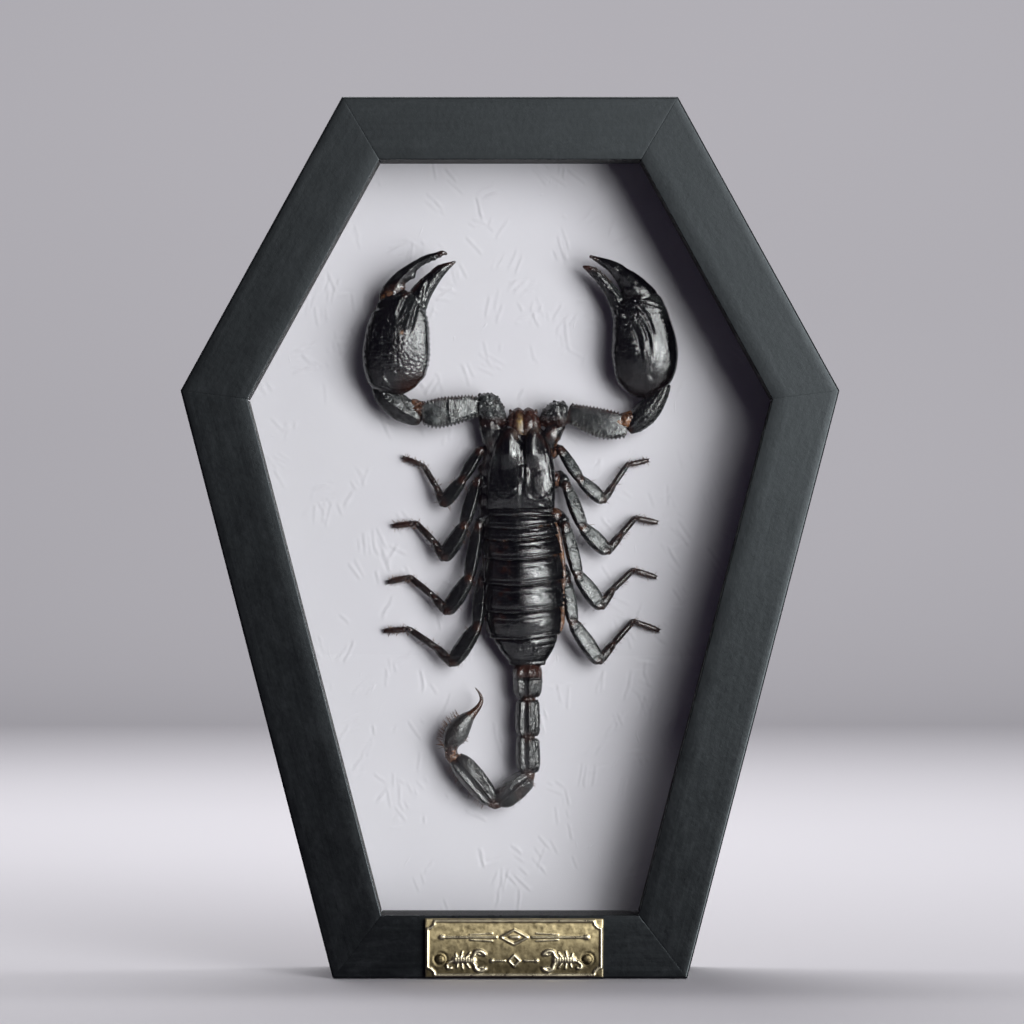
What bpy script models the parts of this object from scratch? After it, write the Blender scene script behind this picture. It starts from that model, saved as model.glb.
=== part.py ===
"""A dried scorpion in a coffin-shaped shadow box that stands on its bottom rail.

Metres, +Z up. The front faces -Y and +X is to the right as seen from the front. The origin is on
the table under the middle of the box. Sizes below are in millimetres.
"""

import math

import bmesh
import bpy
from mathutils import Vector

MM = 0.001
GAP = 0.3  # clearance between pieces that touch on the real object

# Outline of the box, seen from the front
BOX_HEIGHT = 210.0
SHOULDER_HEIGHT = 140.0
TOP_WIDTH = 80.0
SHOULDER_WIDTH = 157.0
BASE_WIDTH = 84.5

# Section of a rail, from its outer edge inwards and from front to back
BOX_DEPTH = 32.0
RAIL_FACE = 15.0
RAIL_WALL = 9.0
LIP_THICKNESS = 3.0
EASED_EDGE = 0.6
MITRE_TRIM = 0.2

# What lies in the rebate, from front to back
GLASS_THICKNESS = 2.0
SPACER_DEPTH = 16.4
SPACER_FACE = 14.4  # inset of the spacers' inner side, just behind the edge of the lip
PAPER_THICKNESS = 0.4
BOARD_THICKNESS = 3.0
TAB_THICKNESS = 0.6
TAB_WIDTH = 6.0
TAB_REACH = 8.0
REBATE_CLEARANCE = 0.5

FRONT_Y = -BOX_DEPTH / 2
BACK_Y = BOX_DEPTH / 2
GLASS_Y = FRONT_Y + LIP_THICKNESS + GAP
SPACER_Y = GLASS_Y + GLASS_THICKNESS + GAP
PAPER_Y = SPACER_Y + SPACER_DEPTH + GAP
BOARD_Y = PAPER_Y + PAPER_THICKNESS + GAP
TAB_Y = BOARD_Y + BOARD_THICKNESS + GAP

# Nameplate on the bottom rail
PLATE_WIDTH = 42.5
PLATE_HEIGHT = 14.0
PLATE_THICKNESS = 1.2
PLATE_CENTRE = (1.0, 7.35)
PLATE_Y = FRONT_Y - GAP - PLATE_THICKNESS
BORDER_INSET = 0.7
BORDER_WIDTH = 0.6
BORDER_RISE = 0.25
BORDER_NOTCH = 1.5
RIVET_SPACING = 35.0
RIVET_DROP = 2.6  # how far the rivets sit below the plate's middle
RIVET_RADIUS = 1.05
RIVET_RISE = 0.65
FIGURE_OFFSET = 10.6  # from the plate's middle to the middle of each scorpion ornament
FIGURE_LIFT = 0.2  # how far the ornaments sit above the rivets
FIGURE_RELIEF = 0.3
FIGURE_BODY = ((-1.6, 0.5), (-0.4, 0.9), (1.0, 0.9), (1.9, 0.4))  # place along it and half width
FIGURE_TAIL_STEPS = 7
FIGURE_ARM_STEPS = 4

# Round-headed pins, as shares of the head's radius or rise
SHANK_SHARE = 0.45
SHOULDER_SHARE = 0.85
SHOULDER_RISE = 0.6
CROWN_SHARE = 0.35
HOLE_REACH = 3.0

# Saw-tooth hanger on the back of the top rail
HANGER_LENGTH = 42.0
HANGER_HEIGHT = 7.0
HANGER_THICKNESS = 0.8
HANGER_BOW = 1.2
BOW_ENDS = (14.0, 11.0)  # from the middle: where the strip leaves the wall and where it is clear
HANGER_TEETH = 9
TOOTH_PITCH = 2.0
TOOTH_DEPTH = 1.3
NAIL_SPACING = 36.0
NAIL_RADIUS = 1.5
NAIL_RISE = 1.05

RAIL_NAMES = ("bottom", "lower_right", "upper_right", "top", "upper_left", "lower_left")

# Outlines of the trunk, as height up the box, middle, half width and top of the back.
# Here and below, places on the scorpion are x, z and the height above the backing paper.
CARAPACE_OUTLINE = (
    (130.6, 3.1, 5.2, 6.6),
    (128.6, 3.0, 5.9, 7.6),
    (126.0, 2.8, 7.0, 8.6),
    (121.5, 2.8, 8.0, 9.4),
    (116.0, 2.7, 8.2, 9.5),
    (112.5, 2.5, 8.3, 9.0),
    (110.9, 2.4, 8.1, 8.4),
)
ABDOMEN_OUTLINE = (
    (110.4, 2.4, 7.9, 8.2),
    (107.0, 2.6, 8.5, 8.5),
    (103.0, 2.7, 9.1, 8.8),
    (99.5, 3.2, 9.2, 9.0),
    (87.5, 3.4, 9.2, 8.8),
    (82.5, 3.5, 8.3, 8.2),
    (80.0, 3.8, 7.7, 7.8),
    (77.7, 4.1, 6.2, 7.2),
    (75.6, 4.2, 4.4, 6.8),
    (74.2, 4.1, 3.5, 6.4),
)
PLATE_EDGES = (110.4, 107.2, 104.3, 99.7, 93.5, 86.9, 80.4, 74.2)  # where back plates overlap
PLATE_STEP = 0.06  # how much a back plate sinks at its edges, as a share of its size
PLATE_SLANT = 0.5  # a back plate's edges rise to the right and towards both flanks
PLATE_SWEEP = 0.9
EDGE_HEIGHT = 5.2  # the trunk is widest here
BELLY_HEIGHT = 1.2
BACK_POWER = 0.85
BELLY_POWER = 0.8
TUCK_POWER = 1.7
NOTCH_DEPTH = 3.4
NOTCH_HALF_WIDTH = 3.2
NOTCH_REACH = 7.0
FURROW_DEPTH = 0.5

# Tail segments and stinger, as x, z, half width
TAIL_HEIGHT = 4.6
TAIL_SEGMENTS = (
    ((4.1, 73.6, 2.9), (4.2, 71.6, 3.8), (4.2, 68.2, 3.8), (4.4, 66.3, 2.2)),
    ((4.3, 65.6, 2.1), (4.2, 63.4, 3.1), (4.2, 60.0, 3.3), (4.3, 57.6, 2.7), (4.3, 56.6, 2.0)),
    ((4.3, 56.1, 2.0), (4.2, 54.4, 2.8), (4.3, 50.5, 3.1), (4.4, 48.4, 1.9)),
    ((4.4, 46.8, 1.0), (3.2, 45.8, 2.4), (0.8, 43.8, 3.3), (-1.2, 42.1, 2.8), (-2.9, 40.7, 0.9)),
    ((-4.7, 40.3, 0.8), (-6.0, 42.0, 2.3), (-8.0, 44.8, 3.1), (-11.6, 48.9, 2.8), (-13.3, 50.9, 1.9)),
)
STINGER = (
    (-14.0, 52.6, 1.6),
    (-14.2, 54.2, 1.7),
    (-13.9, 56.0, 2.4),
    (-12.6, 58.4, 2.7),
    (-10.6, 60.8, 1.9),
    (-8.4, 62.7, 1.0),
    (-6.9, 65.0, 0.6),
    (-7.3, 66.8, 0.4),
    (-8.6, 68.6, 0.15),
)

# Pincer arms, as x, z, height and half width
PINCERS = {
    "left": {
        "trochanter": ((-2.2, 132.6, 4.6, 1.3), (-3.6, 134.6, 5.0, 2.3), (-5.2, 136.6, 5.3, 2.9),
                       (-6.8, 136.8, 5.5, 2.3)),
        "femur": ((-7.5, 136.6, 5.5, 1.9), (-10.5, 136.2, 5.5, 2.8), (-15.0, 135.4, 5.5, 3.4),
                  (-18.0, 134.8, 5.5, 3.1), (-20.4, 134.5, 5.5, 2.0)),
        "patella": ((-21.6, 134.6, 5.3, 1.8), (-24.4, 135.8, 5.3, 2.9), (-27.4, 137.3, 5.3, 2.9),
                    (-29.9, 139.0, 5.3, 1.4)),
        "palm": ((-27.8, 140.2, 6.3, 0.0), (-27.9, 141.1, 6.3, 3.8), (-28.1, 143.6, 6.3, 6.9),
                 (-27.7, 148.3, 6.3, 8.1), (-27.3, 152.5, 6.3, 7.9), (-26.7, 157.0, 6.3, 7.1),
                 (-27.0, 159.8, 6.3, 6.2), (-28.0, 161.6, 6.3, 4.5)),
        "fixed_finger": ((-24.4, 158.4, 6.3, 3.2), (-22.1, 163.3, 6.4, 2.4), (-20.0, 165.9, 6.5, 1.75),
                         (-17.7, 168.5, 6.6, 1.4), (-16.0, 169.9, 6.7, 1.1), (-13.2, 171.5, 6.8, 0.25)),
        "movable_finger": ((-29.2, 163.8, 6.6, 2.2), (-27.1, 166.1, 6.7, 2.0), (-24.6, 168.4, 6.8, 2.0),
                           (-22.6, 170.4, 6.9, 1.4), (-19.0, 172.7, 7.0, 0.9), (-15.3, 173.7, 7.1, 0.25)),
    },
    "right": {
        "trochanter": ((8.9, 132.6, 4.6, 1.3), (9.9, 134.0, 5.0, 2.3), (11.4, 134.7, 5.3, 3.0),
                       (13.2, 135.0, 5.5, 2.3)),
        "femur": ((14.6, 134.9, 5.5, 1.9), (17.5, 133.9, 5.5, 2.8), (21.7, 132.6, 5.5, 3.4),
                  (25.2, 131.9, 5.5, 3.0), (27.6, 131.8, 5.5, 2.0)),
        "patella": ((28.9, 131.9, 5.3, 1.7), (31.7, 133.7, 5.3, 2.9), (34.5, 136.1, 5.3, 2.9),
                    (37.0, 138.8, 5.3, 1.5)),
        "palm": ((32.6, 139.7, 6.3, 0.0), (32.5, 140.5, 6.3, 3.2), (32.5, 143.0, 6.3, 6.2),
                 (32.8, 147.8, 6.3, 7.9), (32.4, 152.0, 6.3, 7.8), (31.8, 156.6, 6.3, 6.7),
                 (31.9, 159.0, 6.3, 6.0), (32.6, 160.7, 6.3, 4.5)),
        "fixed_finger": ((28.2, 157.6, 6.3, 3.0), (25.3, 162.7, 6.4, 1.6), (23.2, 166.0, 6.5, 1.4),
                         (21.2, 168.1, 6.6, 1.15), (19.4, 169.3, 6.7, 0.85), (17.8, 170.1, 6.8, 0.25)),
        "movable_finger": ((33.2, 163.3, 6.6, 2.5), (30.6, 165.7, 6.7, 2.8), (27.3, 168.8, 6.8, 1.9),
                           (24.1, 170.7, 6.9, 1.4), (21.6, 171.9, 7.0, 1.0), (19.3, 172.8, 7.1, 0.25)),
    },
}
THICKNESS_SHARE = {  # half thickness of each arm piece, as a share of its half width
    "trochanter": 0.85,
    "femur": 0.72,
    "patella": 0.85,
    "palm": 0.57,
    "fixed_finger": 0.75,
    "movable_finger": 0.75,
}
FEMUR_TEETH = 12
FEMUR_TOOTH = 0.3

# Legs: hip, femur, knee, lower knee, foot joint, ankle and claw, as x, z and height
LEG_JOINTS = {
    "left_leg_1": ((-5.0, 125.8, 2.4), (-7.4, 125.9, 3.4), (-11.6, 118.8, 6.0), (-16.2, 112.9, 4.6),
                   (-17.7, 116.9, 3.4), (-20.9, 122.2, 1.7), (-25.7, 124.2, 0.8)),
    "left_leg_2": ((-5.6, 119.6, 2.4), (-8.0, 118.4, 3.4), (-11.1, 107.7, 6.2), (-16.0, 99.8, 4.8),
                   (-18.2, 103.6, 3.4), (-22.8, 108.4, 1.7), (-28.2, 107.7, 0.8)),
    "left_leg_3": ((-5.6, 110.6, 2.4), (-7.7, 107.6, 3.4), (-9.9, 95.1, 6.4), (-15.2, 86.9, 4.8),
                   (-18.4, 90.5, 3.4), (-24.3, 95.3, 1.7), (-29.4, 94.1, 0.8)),
    "left_leg_4": ((-5.6, 97.6, 2.4), (-6.9, 94.2, 3.0), (-8.0, 83.3, 6.2), (-14.0, 74.4, 5.0),
                   (-17.7, 78.1, 3.4), (-24.5, 82.7, 1.7), (-30.3, 82.2, 0.8)),
    "right_leg_1": ((10.6, 126.4, 2.4), (12.4, 126.0, 3.4), (16.9, 119.0, 6.0), (22.5, 113.8, 4.6),
                    (24.9, 117.4, 3.4), (28.4, 122.5, 1.7), (33.3, 123.5, 0.8)),
    "right_leg_2": ((11.4, 120.6, 2.4), (13.7, 117.4, 3.4), (17.6, 107.4, 6.2), (23.5, 101.5, 4.8),
                    (26.6, 105.3, 3.4), (30.3, 109.6, 1.7), (35.4, 108.6, 0.8)),
    "right_leg_3": ((11.6, 110.8, 2.4), (13.5, 107.6, 3.4), (16.4, 95.9, 6.4), (22.0, 88.1, 4.8),
                    (24.7, 92.2, 3.4), (29.8, 97.0, 1.7), (35.2, 95.3, 0.8)),
    "right_leg_4": ((12.4, 98.4, 2.4), (13.7, 94.6, 3.0), (15.2, 84.3, 6.2), (21.5, 74.9, 5.0),
                    (24.9, 79.1, 3.4), (29.8, 84.6, 1.7), (35.9, 82.4, 0.8)),
}
LEG_WIDTHS = (  # half width at the start, fullest point and end of each leg segment
    (0.9, 1.2, 1.1),
    (1.0, 1.5, 1.2),
    (1.2, 1.85, 1.4),
    (1.15, 1.1, 0.9),
    (0.95, 0.85, 0.7),
    (0.7, 0.72, 0.25),
)
LEG_PROFILE = ((0.0, 0, 0.7), (0.15, 0, 1.0), (0.55, 1, 1.0), (1.0, 2, 1.0))  # share, width, factor
LEG_FLATNESS = 0.75
JOINT_OVERLAP = 0.35  # how far neighbouring segments of a leg run into each other

# Jaws, as x, z, height and half width
JAW_CENTRES = {"left_jaw": 1.35, "right_jaw": 5.45}
JAW_PROFILE = ((131.3, 1.2), (131.9, 1.85), (133.6, 1.9), (135.1, 1.4), (135.8, 0.5))
JAW_HEIGHT = 5.6
ROUNDNESS = 0.9  # half thickness of a jaw or tail segment, as a share of its half width

# Sides of the lofted forms
CARAPACE_SIDES = 24
ABDOMEN_SIDES = 20
PALM_SIDES = 16
TAIL_SIDES = 10
LIMB_SIDES = 8
LEG_SIDES = 7
STROKE_SIDES = 6
NOTCH_STEPS = 4

# Colour, roughness and metallic value of each material
FINISHES = {
    "black_wood": ((0.020, 0.023, 0.025), 0.55, 0.0),
    "glass": ((0.90, 0.94, 0.94), 0.02, 0.0),
    "black_card": ((0.010, 0.010, 0.011), 0.80, 0.0),
    "paper": ((0.74, 0.71, 0.76), 0.70, 0.0),
    "board": ((0.30, 0.22, 0.15), 0.85, 0.0),
    "brass": ((0.42, 0.33, 0.17), 0.38, 1.0),
    "steel": ((0.55, 0.55, 0.55), 0.35, 1.0),
    "chitin": ((0.012, 0.013, 0.013), 0.22, 0.0),
    "red_chitin": ((0.060, 0.020, 0.014), 0.25, 0.0),
}


def material(name, finish):
    """A new Principled material with the named finish."""
    colour, roughness, metallic = FINISHES[finish]
    made = bpy.data.materials.new(name)
    made.use_nodes = True
    shader = made.node_tree.nodes["Principled BSDF"]
    shader.inputs["Base Color"].default_value = (*colour, 1.0)
    shader.inputs["Roughness"].default_value = roughness
    shader.inputs["Metallic"].default_value = metallic
    return made


def add_object(name, bm, finish, smooth_angle=None):
    """Turns a bmesh in millimetres into a named object with its own material."""
    bmesh.ops.recalc_face_normals(bm, faces=bm.faces)
    bmesh.ops.scale(bm, vec=(MM, MM, MM), verts=bm.verts)
    mesh = bpy.data.meshes.new(name)
    bm.to_mesh(mesh)
    bm.free()
    if smooth_angle is not None:
        mesh.shade_smooth()
        mesh.set_sharp_from_angle(angle=math.radians(smooth_angle))
    made = bpy.data.objects.new(name, mesh)
    made.data.materials.append(material(name, finish))
    bpy.context.collection.objects.link(made)
    return made


def boolean(target, tools, operation):
    """Joins or cuts the target with the tool objects for good, and removes the tools."""
    for tool in tools:
        modifier = target.modifiers.new(operation.lower(), "BOOLEAN")
        modifier.operation = operation
        modifier.object = tool
    graph = bpy.context.evaluated_depsgraph_get()
    mesh = bpy.data.meshes.new_from_object(target.evaluated_get(graph))
    target.modifiers.clear()
    spare = target.data
    target.data = mesh
    bpy.data.meshes.remove(spare)
    mesh.name = target.name
    for tool in tools:
        bpy.data.objects.remove(tool)


def coffin(inset):
    """The six corners of the box outline moved inwards, from bottom left anticlockwise."""
    outer = [
        Vector((-BASE_WIDTH / 2, 0.0)),
        Vector((BASE_WIDTH / 2, 0.0)),
        Vector((SHOULDER_WIDTH / 2, SHOULDER_HEIGHT)),
        Vector((TOP_WIDTH / 2, BOX_HEIGHT)),
        Vector((-TOP_WIDTH / 2, BOX_HEIGHT)),
        Vector((-SHOULDER_WIDTH / 2, SHOULDER_HEIGHT)),
    ]
    corners = []
    for i, corner in enumerate(outer):
        before = (corner - outer[i - 1]).normalized()
        after = (outer[(i + 1) % 6] - corner).normalized()
        inward = Vector((-before.y - after.y, before.x + after.x))
        corners.append(corner + inward * inset / (1 + before.dot(after)))
    return corners


def loop(bm, points):
    """New vertices at the points."""
    return [bm.verts.new(point) for point in points]


def skin(bm, loops, closed=False):
    """Closes rows of quads over the loops, with a face on each end unless they meet in a ring."""
    pairs = list(zip(loops, loops[1:]))
    if closed:
        pairs.append((loops[-1], loops[0]))
    else:
        bm.faces.new(loops[0])
        bm.faces.new(loops[-1])
    for first, second in pairs:
        for i in range(len(first)):
            j = (i + 1) % len(first)
            bm.faces.new((first[i], first[j], second[j], second[i]))


def mitred_strip(name, side, profile, finish):
    """A strip along one side of the box, whose profile is a list of inset and y."""
    ends = ([], [])
    for inset, y in profile:
        corners = coffin(inset)
        start, end = corners[side], corners[(side + 1) % 6]
        trim = (end - start).normalized() * MITRE_TRIM
        ends[0].append((start.x + trim.x, y, start.y + trim.y))
        ends[1].append((end.x - trim.x, y, end.y - trim.y))
    bm = bmesh.new()
    skin(bm, [loop(bm, ends[0]), loop(bm, ends[1])])
    return add_object(name, bm, finish)


def coffin_sheet(name, inset, y, thickness, finish):
    """A flat sheet in the shape of the box, smaller by the inset."""
    bm = bmesh.new()
    outlines = [[(p.x, depth, p.y) for p in coffin(inset)] for depth in (y, y + thickness)]
    skin(bm, [loop(bm, outline) for outline in outlines])
    return add_object(name, bm, finish)


def box(name, low, high, finish, turn=0.0, pivot=(0.0, 0.0)):
    """A box between two corners, turned about the y axis through a pivot in x and z."""
    bm = bmesh.new()
    outlines = []
    for y in (low[1], high[1]):
        corners = ((low[0], low[2]), (high[0], low[2]), (high[0], high[2]), (low[0], high[2]))
        outline = []
        for x, z in corners:
            across = x * math.cos(turn) - z * math.sin(turn)
            up = x * math.sin(turn) + z * math.cos(turn)
            outline.append((pivot[0] + across, y, pivot[1] + up))
        outlines.append(outline)
    skin(bm, [loop(bm, outline) for outline in outlines])
    return add_object(name, bm, finish)


def turned(name, centre, profile, finish, sides=10):
    """A closed round piece about the y axis at x and z, from a list of radius and y."""
    bm = bmesh.new()
    rings = []
    for radius, y in profile:
        ring = []
        for i in range(sides):
            angle = 2 * math.pi * i / sides
            ring.append((centre[0] + radius * math.cos(angle), y, centre[1] + radius * math.sin(angle)))
        rings.append(loop(bm, ring))
    skin(bm, rings)
    return add_object(name, bm, finish, smooth_angle=35)


def pin(name, centre, head_y, head_radius, rise, length, outward, finish):
    """A round-headed pin whose head sits just off the face at head_y, with its shank behind."""
    shank = SHANK_SHARE * head_radius
    near = head_y + outward * GAP
    profile = (
        (shank, head_y - outward * length),
        (shank, near),
        (head_radius, near),
        (SHOULDER_SHARE * head_radius, near + outward * SHOULDER_RISE * rise),
        (CROWN_SHARE * head_radius, near + outward * rise),
    )
    return turned(name, centre, profile, finish)


def hole(centre, y, radius):
    """A round tool that cuts a hole through a plate at y."""
    return turned("hole", centre, ((radius, y - HOLE_REACH), (radius, y + HOLE_REACH)), "steel")


def resample(stations, count):
    """Points evenly spread along a smooth curve through the stations."""
    last = len(stations) - 1
    points = []
    for n in range(count):
        place = n * last / (count - 1)
        i = min(int(place), last - 1)
        t = place - i
        row = [stations[max(i - 1, 0)], stations[i], stations[i + 1], stations[min(i + 2, last)]]
        point = []
        for a, b, c, d in zip(*row):
            slope_in, slope_out = (c - a) / 2, (d - b) / 2
            point.append(
                (2 * t**3 - 3 * t**2 + 1) * b
                + (t**3 - 2 * t**2 + t) * slope_in
                + (3 * t**2 - 2 * t**3) * c
                + (t**3 - t**2) * slope_out
            )
        points.append(tuple(point))
    return points


def limb(name, stations, sides, finish="chitin"):
    """A closed tube through stations of x, z, height, half width and half thickness."""
    bm = bmesh.new()
    centres = [Vector((x, PAPER_Y - height, z)) for x, z, height, width, thickness in stations]
    toward_viewer = Vector((0.0, -1.0, 0.0))
    rings = []
    for i, (centre, station) in enumerate(zip(centres, stations)):
        ahead = centres[min(i + 1, len(centres) - 1)] - centres[max(i - 1, 0)]
        side = ahead.cross(toward_viewer).normalized()
        lift = side.cross(ahead).normalized()
        ring = []
        for n in range(sides):
            angle = 2 * math.pi * n / sides
            across = side * station[3] * math.cos(angle)
            ring.append(centre + across + lift * station[4] * math.sin(angle))
        rings.append(loop(bm, ring))
    skin(bm, rings)
    return add_object(name, bm, finish, smooth_angle=50)


def at_height(outline, z):
    """Middle, half width and top of the trunk at a height up the box."""
    for above, below in zip(outline, outline[1:]):
        if z >= below[0]:
            share = (above[0] - z) / (above[0] - below[0])
            return [a + (b - a) * share for a, b in zip(above[1:], below[1:])]
    return list(outline[-1][1:])


def trunk_ring(middle, half_width, top, z, shift, sides):
    """A ring round the trunk: a vaulted back over a belly that tucks in under its edges."""
    ring = []
    for n in range(sides):
        angle = 2 * math.pi * n / sides
        across, rise = math.cos(angle), math.sin(angle)
        if rise >= 0:
            height = EDGE_HEIGHT + (top - EDGE_HEIGHT) * rise**BACK_POWER
        else:
            height = EDGE_HEIGHT - (EDGE_HEIGHT - BELLY_HEIGHT) * (-rise) ** BELLY_POWER
            across = math.copysign(abs(across) ** TUCK_POWER, across)
        x = middle + half_width * across
        dz, dip = shift(across, rise)
        ring.append((x, PAPER_Y - height + dip, z + dz))
    return ring


def carapace():
    """The head shield, with a notched front edge and a furrow down the middle."""
    front = CARAPACE_OUTLINE[0][0]
    rings = []
    bm = bmesh.new()
    for z, middle, half_width, top in resample(CARAPACE_OUTLINE, 12):
        reach = max(0.0, 1 - (front - z) / NOTCH_REACH)

        def shift(across, rise):
            off_centre = abs(across) * half_width / NOTCH_HALF_WIDTH
            notch = -NOTCH_DEPTH * reach * max(0.0, 1 - off_centre)
            furrow = FURROW_DEPTH if rise > 0.9 and off_centre < 0.2 else 0.0
            return notch, furrow

        rings.append(loop(bm, trunk_ring(middle, half_width, top, z, shift, CARAPACE_SIDES)))
    skin(bm, rings)
    return add_object("carapace", bm, "chitin", smooth_angle=40)


def abdomen():
    """Seven overlapping back plates, each a little raised between its edges."""
    bm = bmesh.new()
    rings = []

    def shift(across, rise):
        fade = min(1.0, (z - PLATE_EDGES[-1]) / 6.0, (PLATE_EDGES[0] - z) / 3.0)
        return (PLATE_SLANT * across + PLATE_SWEEP * across * across) * fade, 0.0

    for upper, lower in zip(PLATE_EDGES, PLATE_EDGES[1:]):
        for share, sink in ((0.0, PLATE_STEP), (0.3, 0.0), (0.94, 0.0)):
            z = upper + (lower - upper) * share
            middle, half_width, top = at_height(ABDOMEN_OUTLINE, z)
            half_width *= 1 - sink
            top *= 1 - sink
            rings.append(loop(bm, trunk_ring(middle, half_width, top, z, shift, ABDOMEN_SIDES)))
    z = PLATE_EDGES[-1]
    middle, half_width, top = at_height(ABDOMEN_OUTLINE, z)
    rings.append(loop(bm, trunk_ring(middle, half_width, top, z, shift, ABDOMEN_SIDES)))
    skin(bm, rings)
    return add_object("abdomen", bm, "chitin", smooth_angle=40)


def jaws():
    """The two small jaws in front of the head shield."""
    for name, middle in JAW_CENTRES.items():
        stations = [(middle, z, JAW_HEIGHT, width, ROUNDNESS * width) for z, width in JAW_PROFILE]
        limb(name, stations, TAIL_SIDES, "red_chitin")


def tail():
    """Five segments and the stinger, curled to the left."""
    for number, stations in enumerate(TAIL_SEGMENTS, start=1):
        path = [(x, z, TAIL_HEIGHT, width, ROUNDNESS * width) for x, z, width in stations]
        limb(f"tail_segment_{number}", resample(path, 7), TAIL_SIDES)
    path = [(x, z, TAIL_HEIGHT, width, width) for x, z, width in STINGER]
    limb("stinger", resample(path, 14), LIMB_SIDES)


def serrated(stations, teeth, depth):
    """The stations resampled so that the edges rise and fall as a row of teeth."""
    points = []
    for n, point in enumerate(resample(stations, 2 * teeth + 1)):
        x, z, height, width, thickness = point
        points.append((x, z, height, width + (depth if n % 2 else 0.0), thickness))
    return points


def pincers():
    """Both arms. A palm and its fixed finger are one piece, the hand."""
    for side, pieces in PINCERS.items():
        lofts = {}
        for piece, stations in pieces.items():
            share = THICKNESS_SHARE[piece]
            path = [(x, z, height, width, width * share) for x, z, height, width in stations]
            if piece == "femur":
                path = serrated(path, FEMUR_TEETH, FEMUR_TOOTH)
            elif piece == "palm":
                path = resample(path, 11)[1:]
            else:
                path = resample(path, 8)
            sides = PALM_SIDES if piece == "palm" else LIMB_SIDES
            lofts[piece] = limb(f"{side}_pincer_{piece}", path, sides)
        boolean(lofts["palm"], [lofts["fixed_finger"]], "UNION")
        lofts["palm"].name = f"{side}_pincer_hand"


def legs():
    """Each leg is one piece from hip to claw, thickest between its joints."""
    for name, joints in LEG_JOINTS.items():
        segments = []
        for number, (start, end) in enumerate(zip(joints, joints[1:])):
            start, end = Vector(start), Vector(end)
            along = (end - start).normalized() * JOINT_OVERLAP
            first = start - along if number else start
            last = end + along if number < len(joints) - 2 else end
            path = []
            for share, which, factor in LEG_PROFILE:
                width = LEG_WIDTHS[number][which] * factor
                path.append((*first.lerp(last, share), width, width * LEG_FLATNESS))
            segments.append(limb(name if number == 0 else "segment", path, LEG_SIDES))
        boolean(segments[0], segments[1:], "UNION")


def rails_and_spacers():
    """The six mitred rails and the strips inside them, between the glass and the paper."""
    eased = EASED_EDGE
    rail = (
        (0.0, FRONT_Y + eased),
        (eased, FRONT_Y),
        (RAIL_FACE - eased, FRONT_Y),
        (RAIL_FACE, FRONT_Y + eased),
        (RAIL_FACE, FRONT_Y + LIP_THICKNESS),
        (RAIL_WALL, FRONT_Y + LIP_THICKNESS),
        (RAIL_WALL, BACK_Y),
        (0.0, BACK_Y),
    )
    spacer_end = SPACER_Y + SPACER_DEPTH
    spacer = (
        (RAIL_WALL + GAP, SPACER_Y),
        (SPACER_FACE, SPACER_Y),
        (SPACER_FACE, spacer_end),
        (RAIL_WALL + GAP, spacer_end),
    )
    for side, place in enumerate(RAIL_NAMES):
        mitred_strip(f"rail_{place}", side, rail, "black_wood")
        mitred_strip(f"spacer_{place}", side, spacer, "black_card")


def sheets_and_tabs():
    """Glass, backing paper and board, and the tabs that hold them in from behind."""
    fitted = RAIL_WALL + REBATE_CLEARANCE
    coffin_sheet("glass_pane", fitted, GLASS_Y, GLASS_THICKNESS, "glass")
    coffin_sheet("backing_paper", fitted, PAPER_Y, PAPER_THICKNESS, "paper")
    coffin_sheet("backing_board", fitted, BOARD_Y, BOARD_THICKNESS, "board")
    corners = coffin(RAIL_WALL + GAP)
    for side, place in enumerate(RAIL_NAMES):
        start, end = corners[side], corners[(side + 1) % 6]
        middle = (start + end) / 2
        turn = math.atan2(end.y - start.y, end.x - start.x)
        low = (-TAB_WIDTH / 2, TAB_Y, 0.0)
        high = (TAB_WIDTH / 2, TAB_Y + TAB_THICKNESS, TAB_REACH)
        box(f"back_tab_{place}", low, high, "steel", turn, middle)


def notched_rectangle(width, height, notch, y):
    """A rectangle about the nameplate's middle, with a quarter round bitten out of each corner."""
    points = []
    for turn, (across, up) in enumerate(((1, 1), (-1, 1), (-1, -1), (1, -1))):
        for n in range(NOTCH_STEPS + 1):
            angle = math.pi * (1.5 + turn / 2) - math.pi / 2 * n / NOTCH_STEPS
            x = across * width / 2 + notch * math.cos(angle)
            z = up * height / 2 + notch * math.sin(angle)
            points.append((PLATE_CENTRE[0] + x, y, PLATE_CENTRE[1] + z))
    return points


def figure(side):
    """A small scorpion in low relief, its claws towards the middle of the plate."""
    x = PLATE_CENTRE[0] + side * FIGURE_OFFSET
    z = PLATE_CENTRE[1] - RIVET_DROP + FIGURE_LIFT
    height = PAPER_Y - PLATE_Y
    body = [(x - side * step, z, height, width, FIGURE_RELIEF) for step, width in FIGURE_BODY]
    tail_path = []
    for n in range(FIGURE_TAIL_STEPS):
        angle = math.pi * (0.5 - n / 5.5)
        reach = x + side * (1.4 + 1.7 * math.cos(angle) + 0.15 * n)
        tail_path.append((reach, z - 0.3 + 0.9 * math.sin(angle), height, 0.36 - 0.02 * n, 0.25))
    strokes = [limb("body", body, LIMB_SIDES), limb("tail", tail_path, STROKE_SIDES)]
    for claw in (-1, 1):
        arm = [(x - side * (1.5 + 0.85 * n), z + claw * (0.5 + 0.45 * n - 0.1 * n * n), height,
                0.3 + 0.12 * (n == 2), 0.25) for n in range(FIGURE_ARM_STEPS)]
        strokes.append(limb("claw", arm, STROKE_SIDES))
    return strokes


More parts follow.
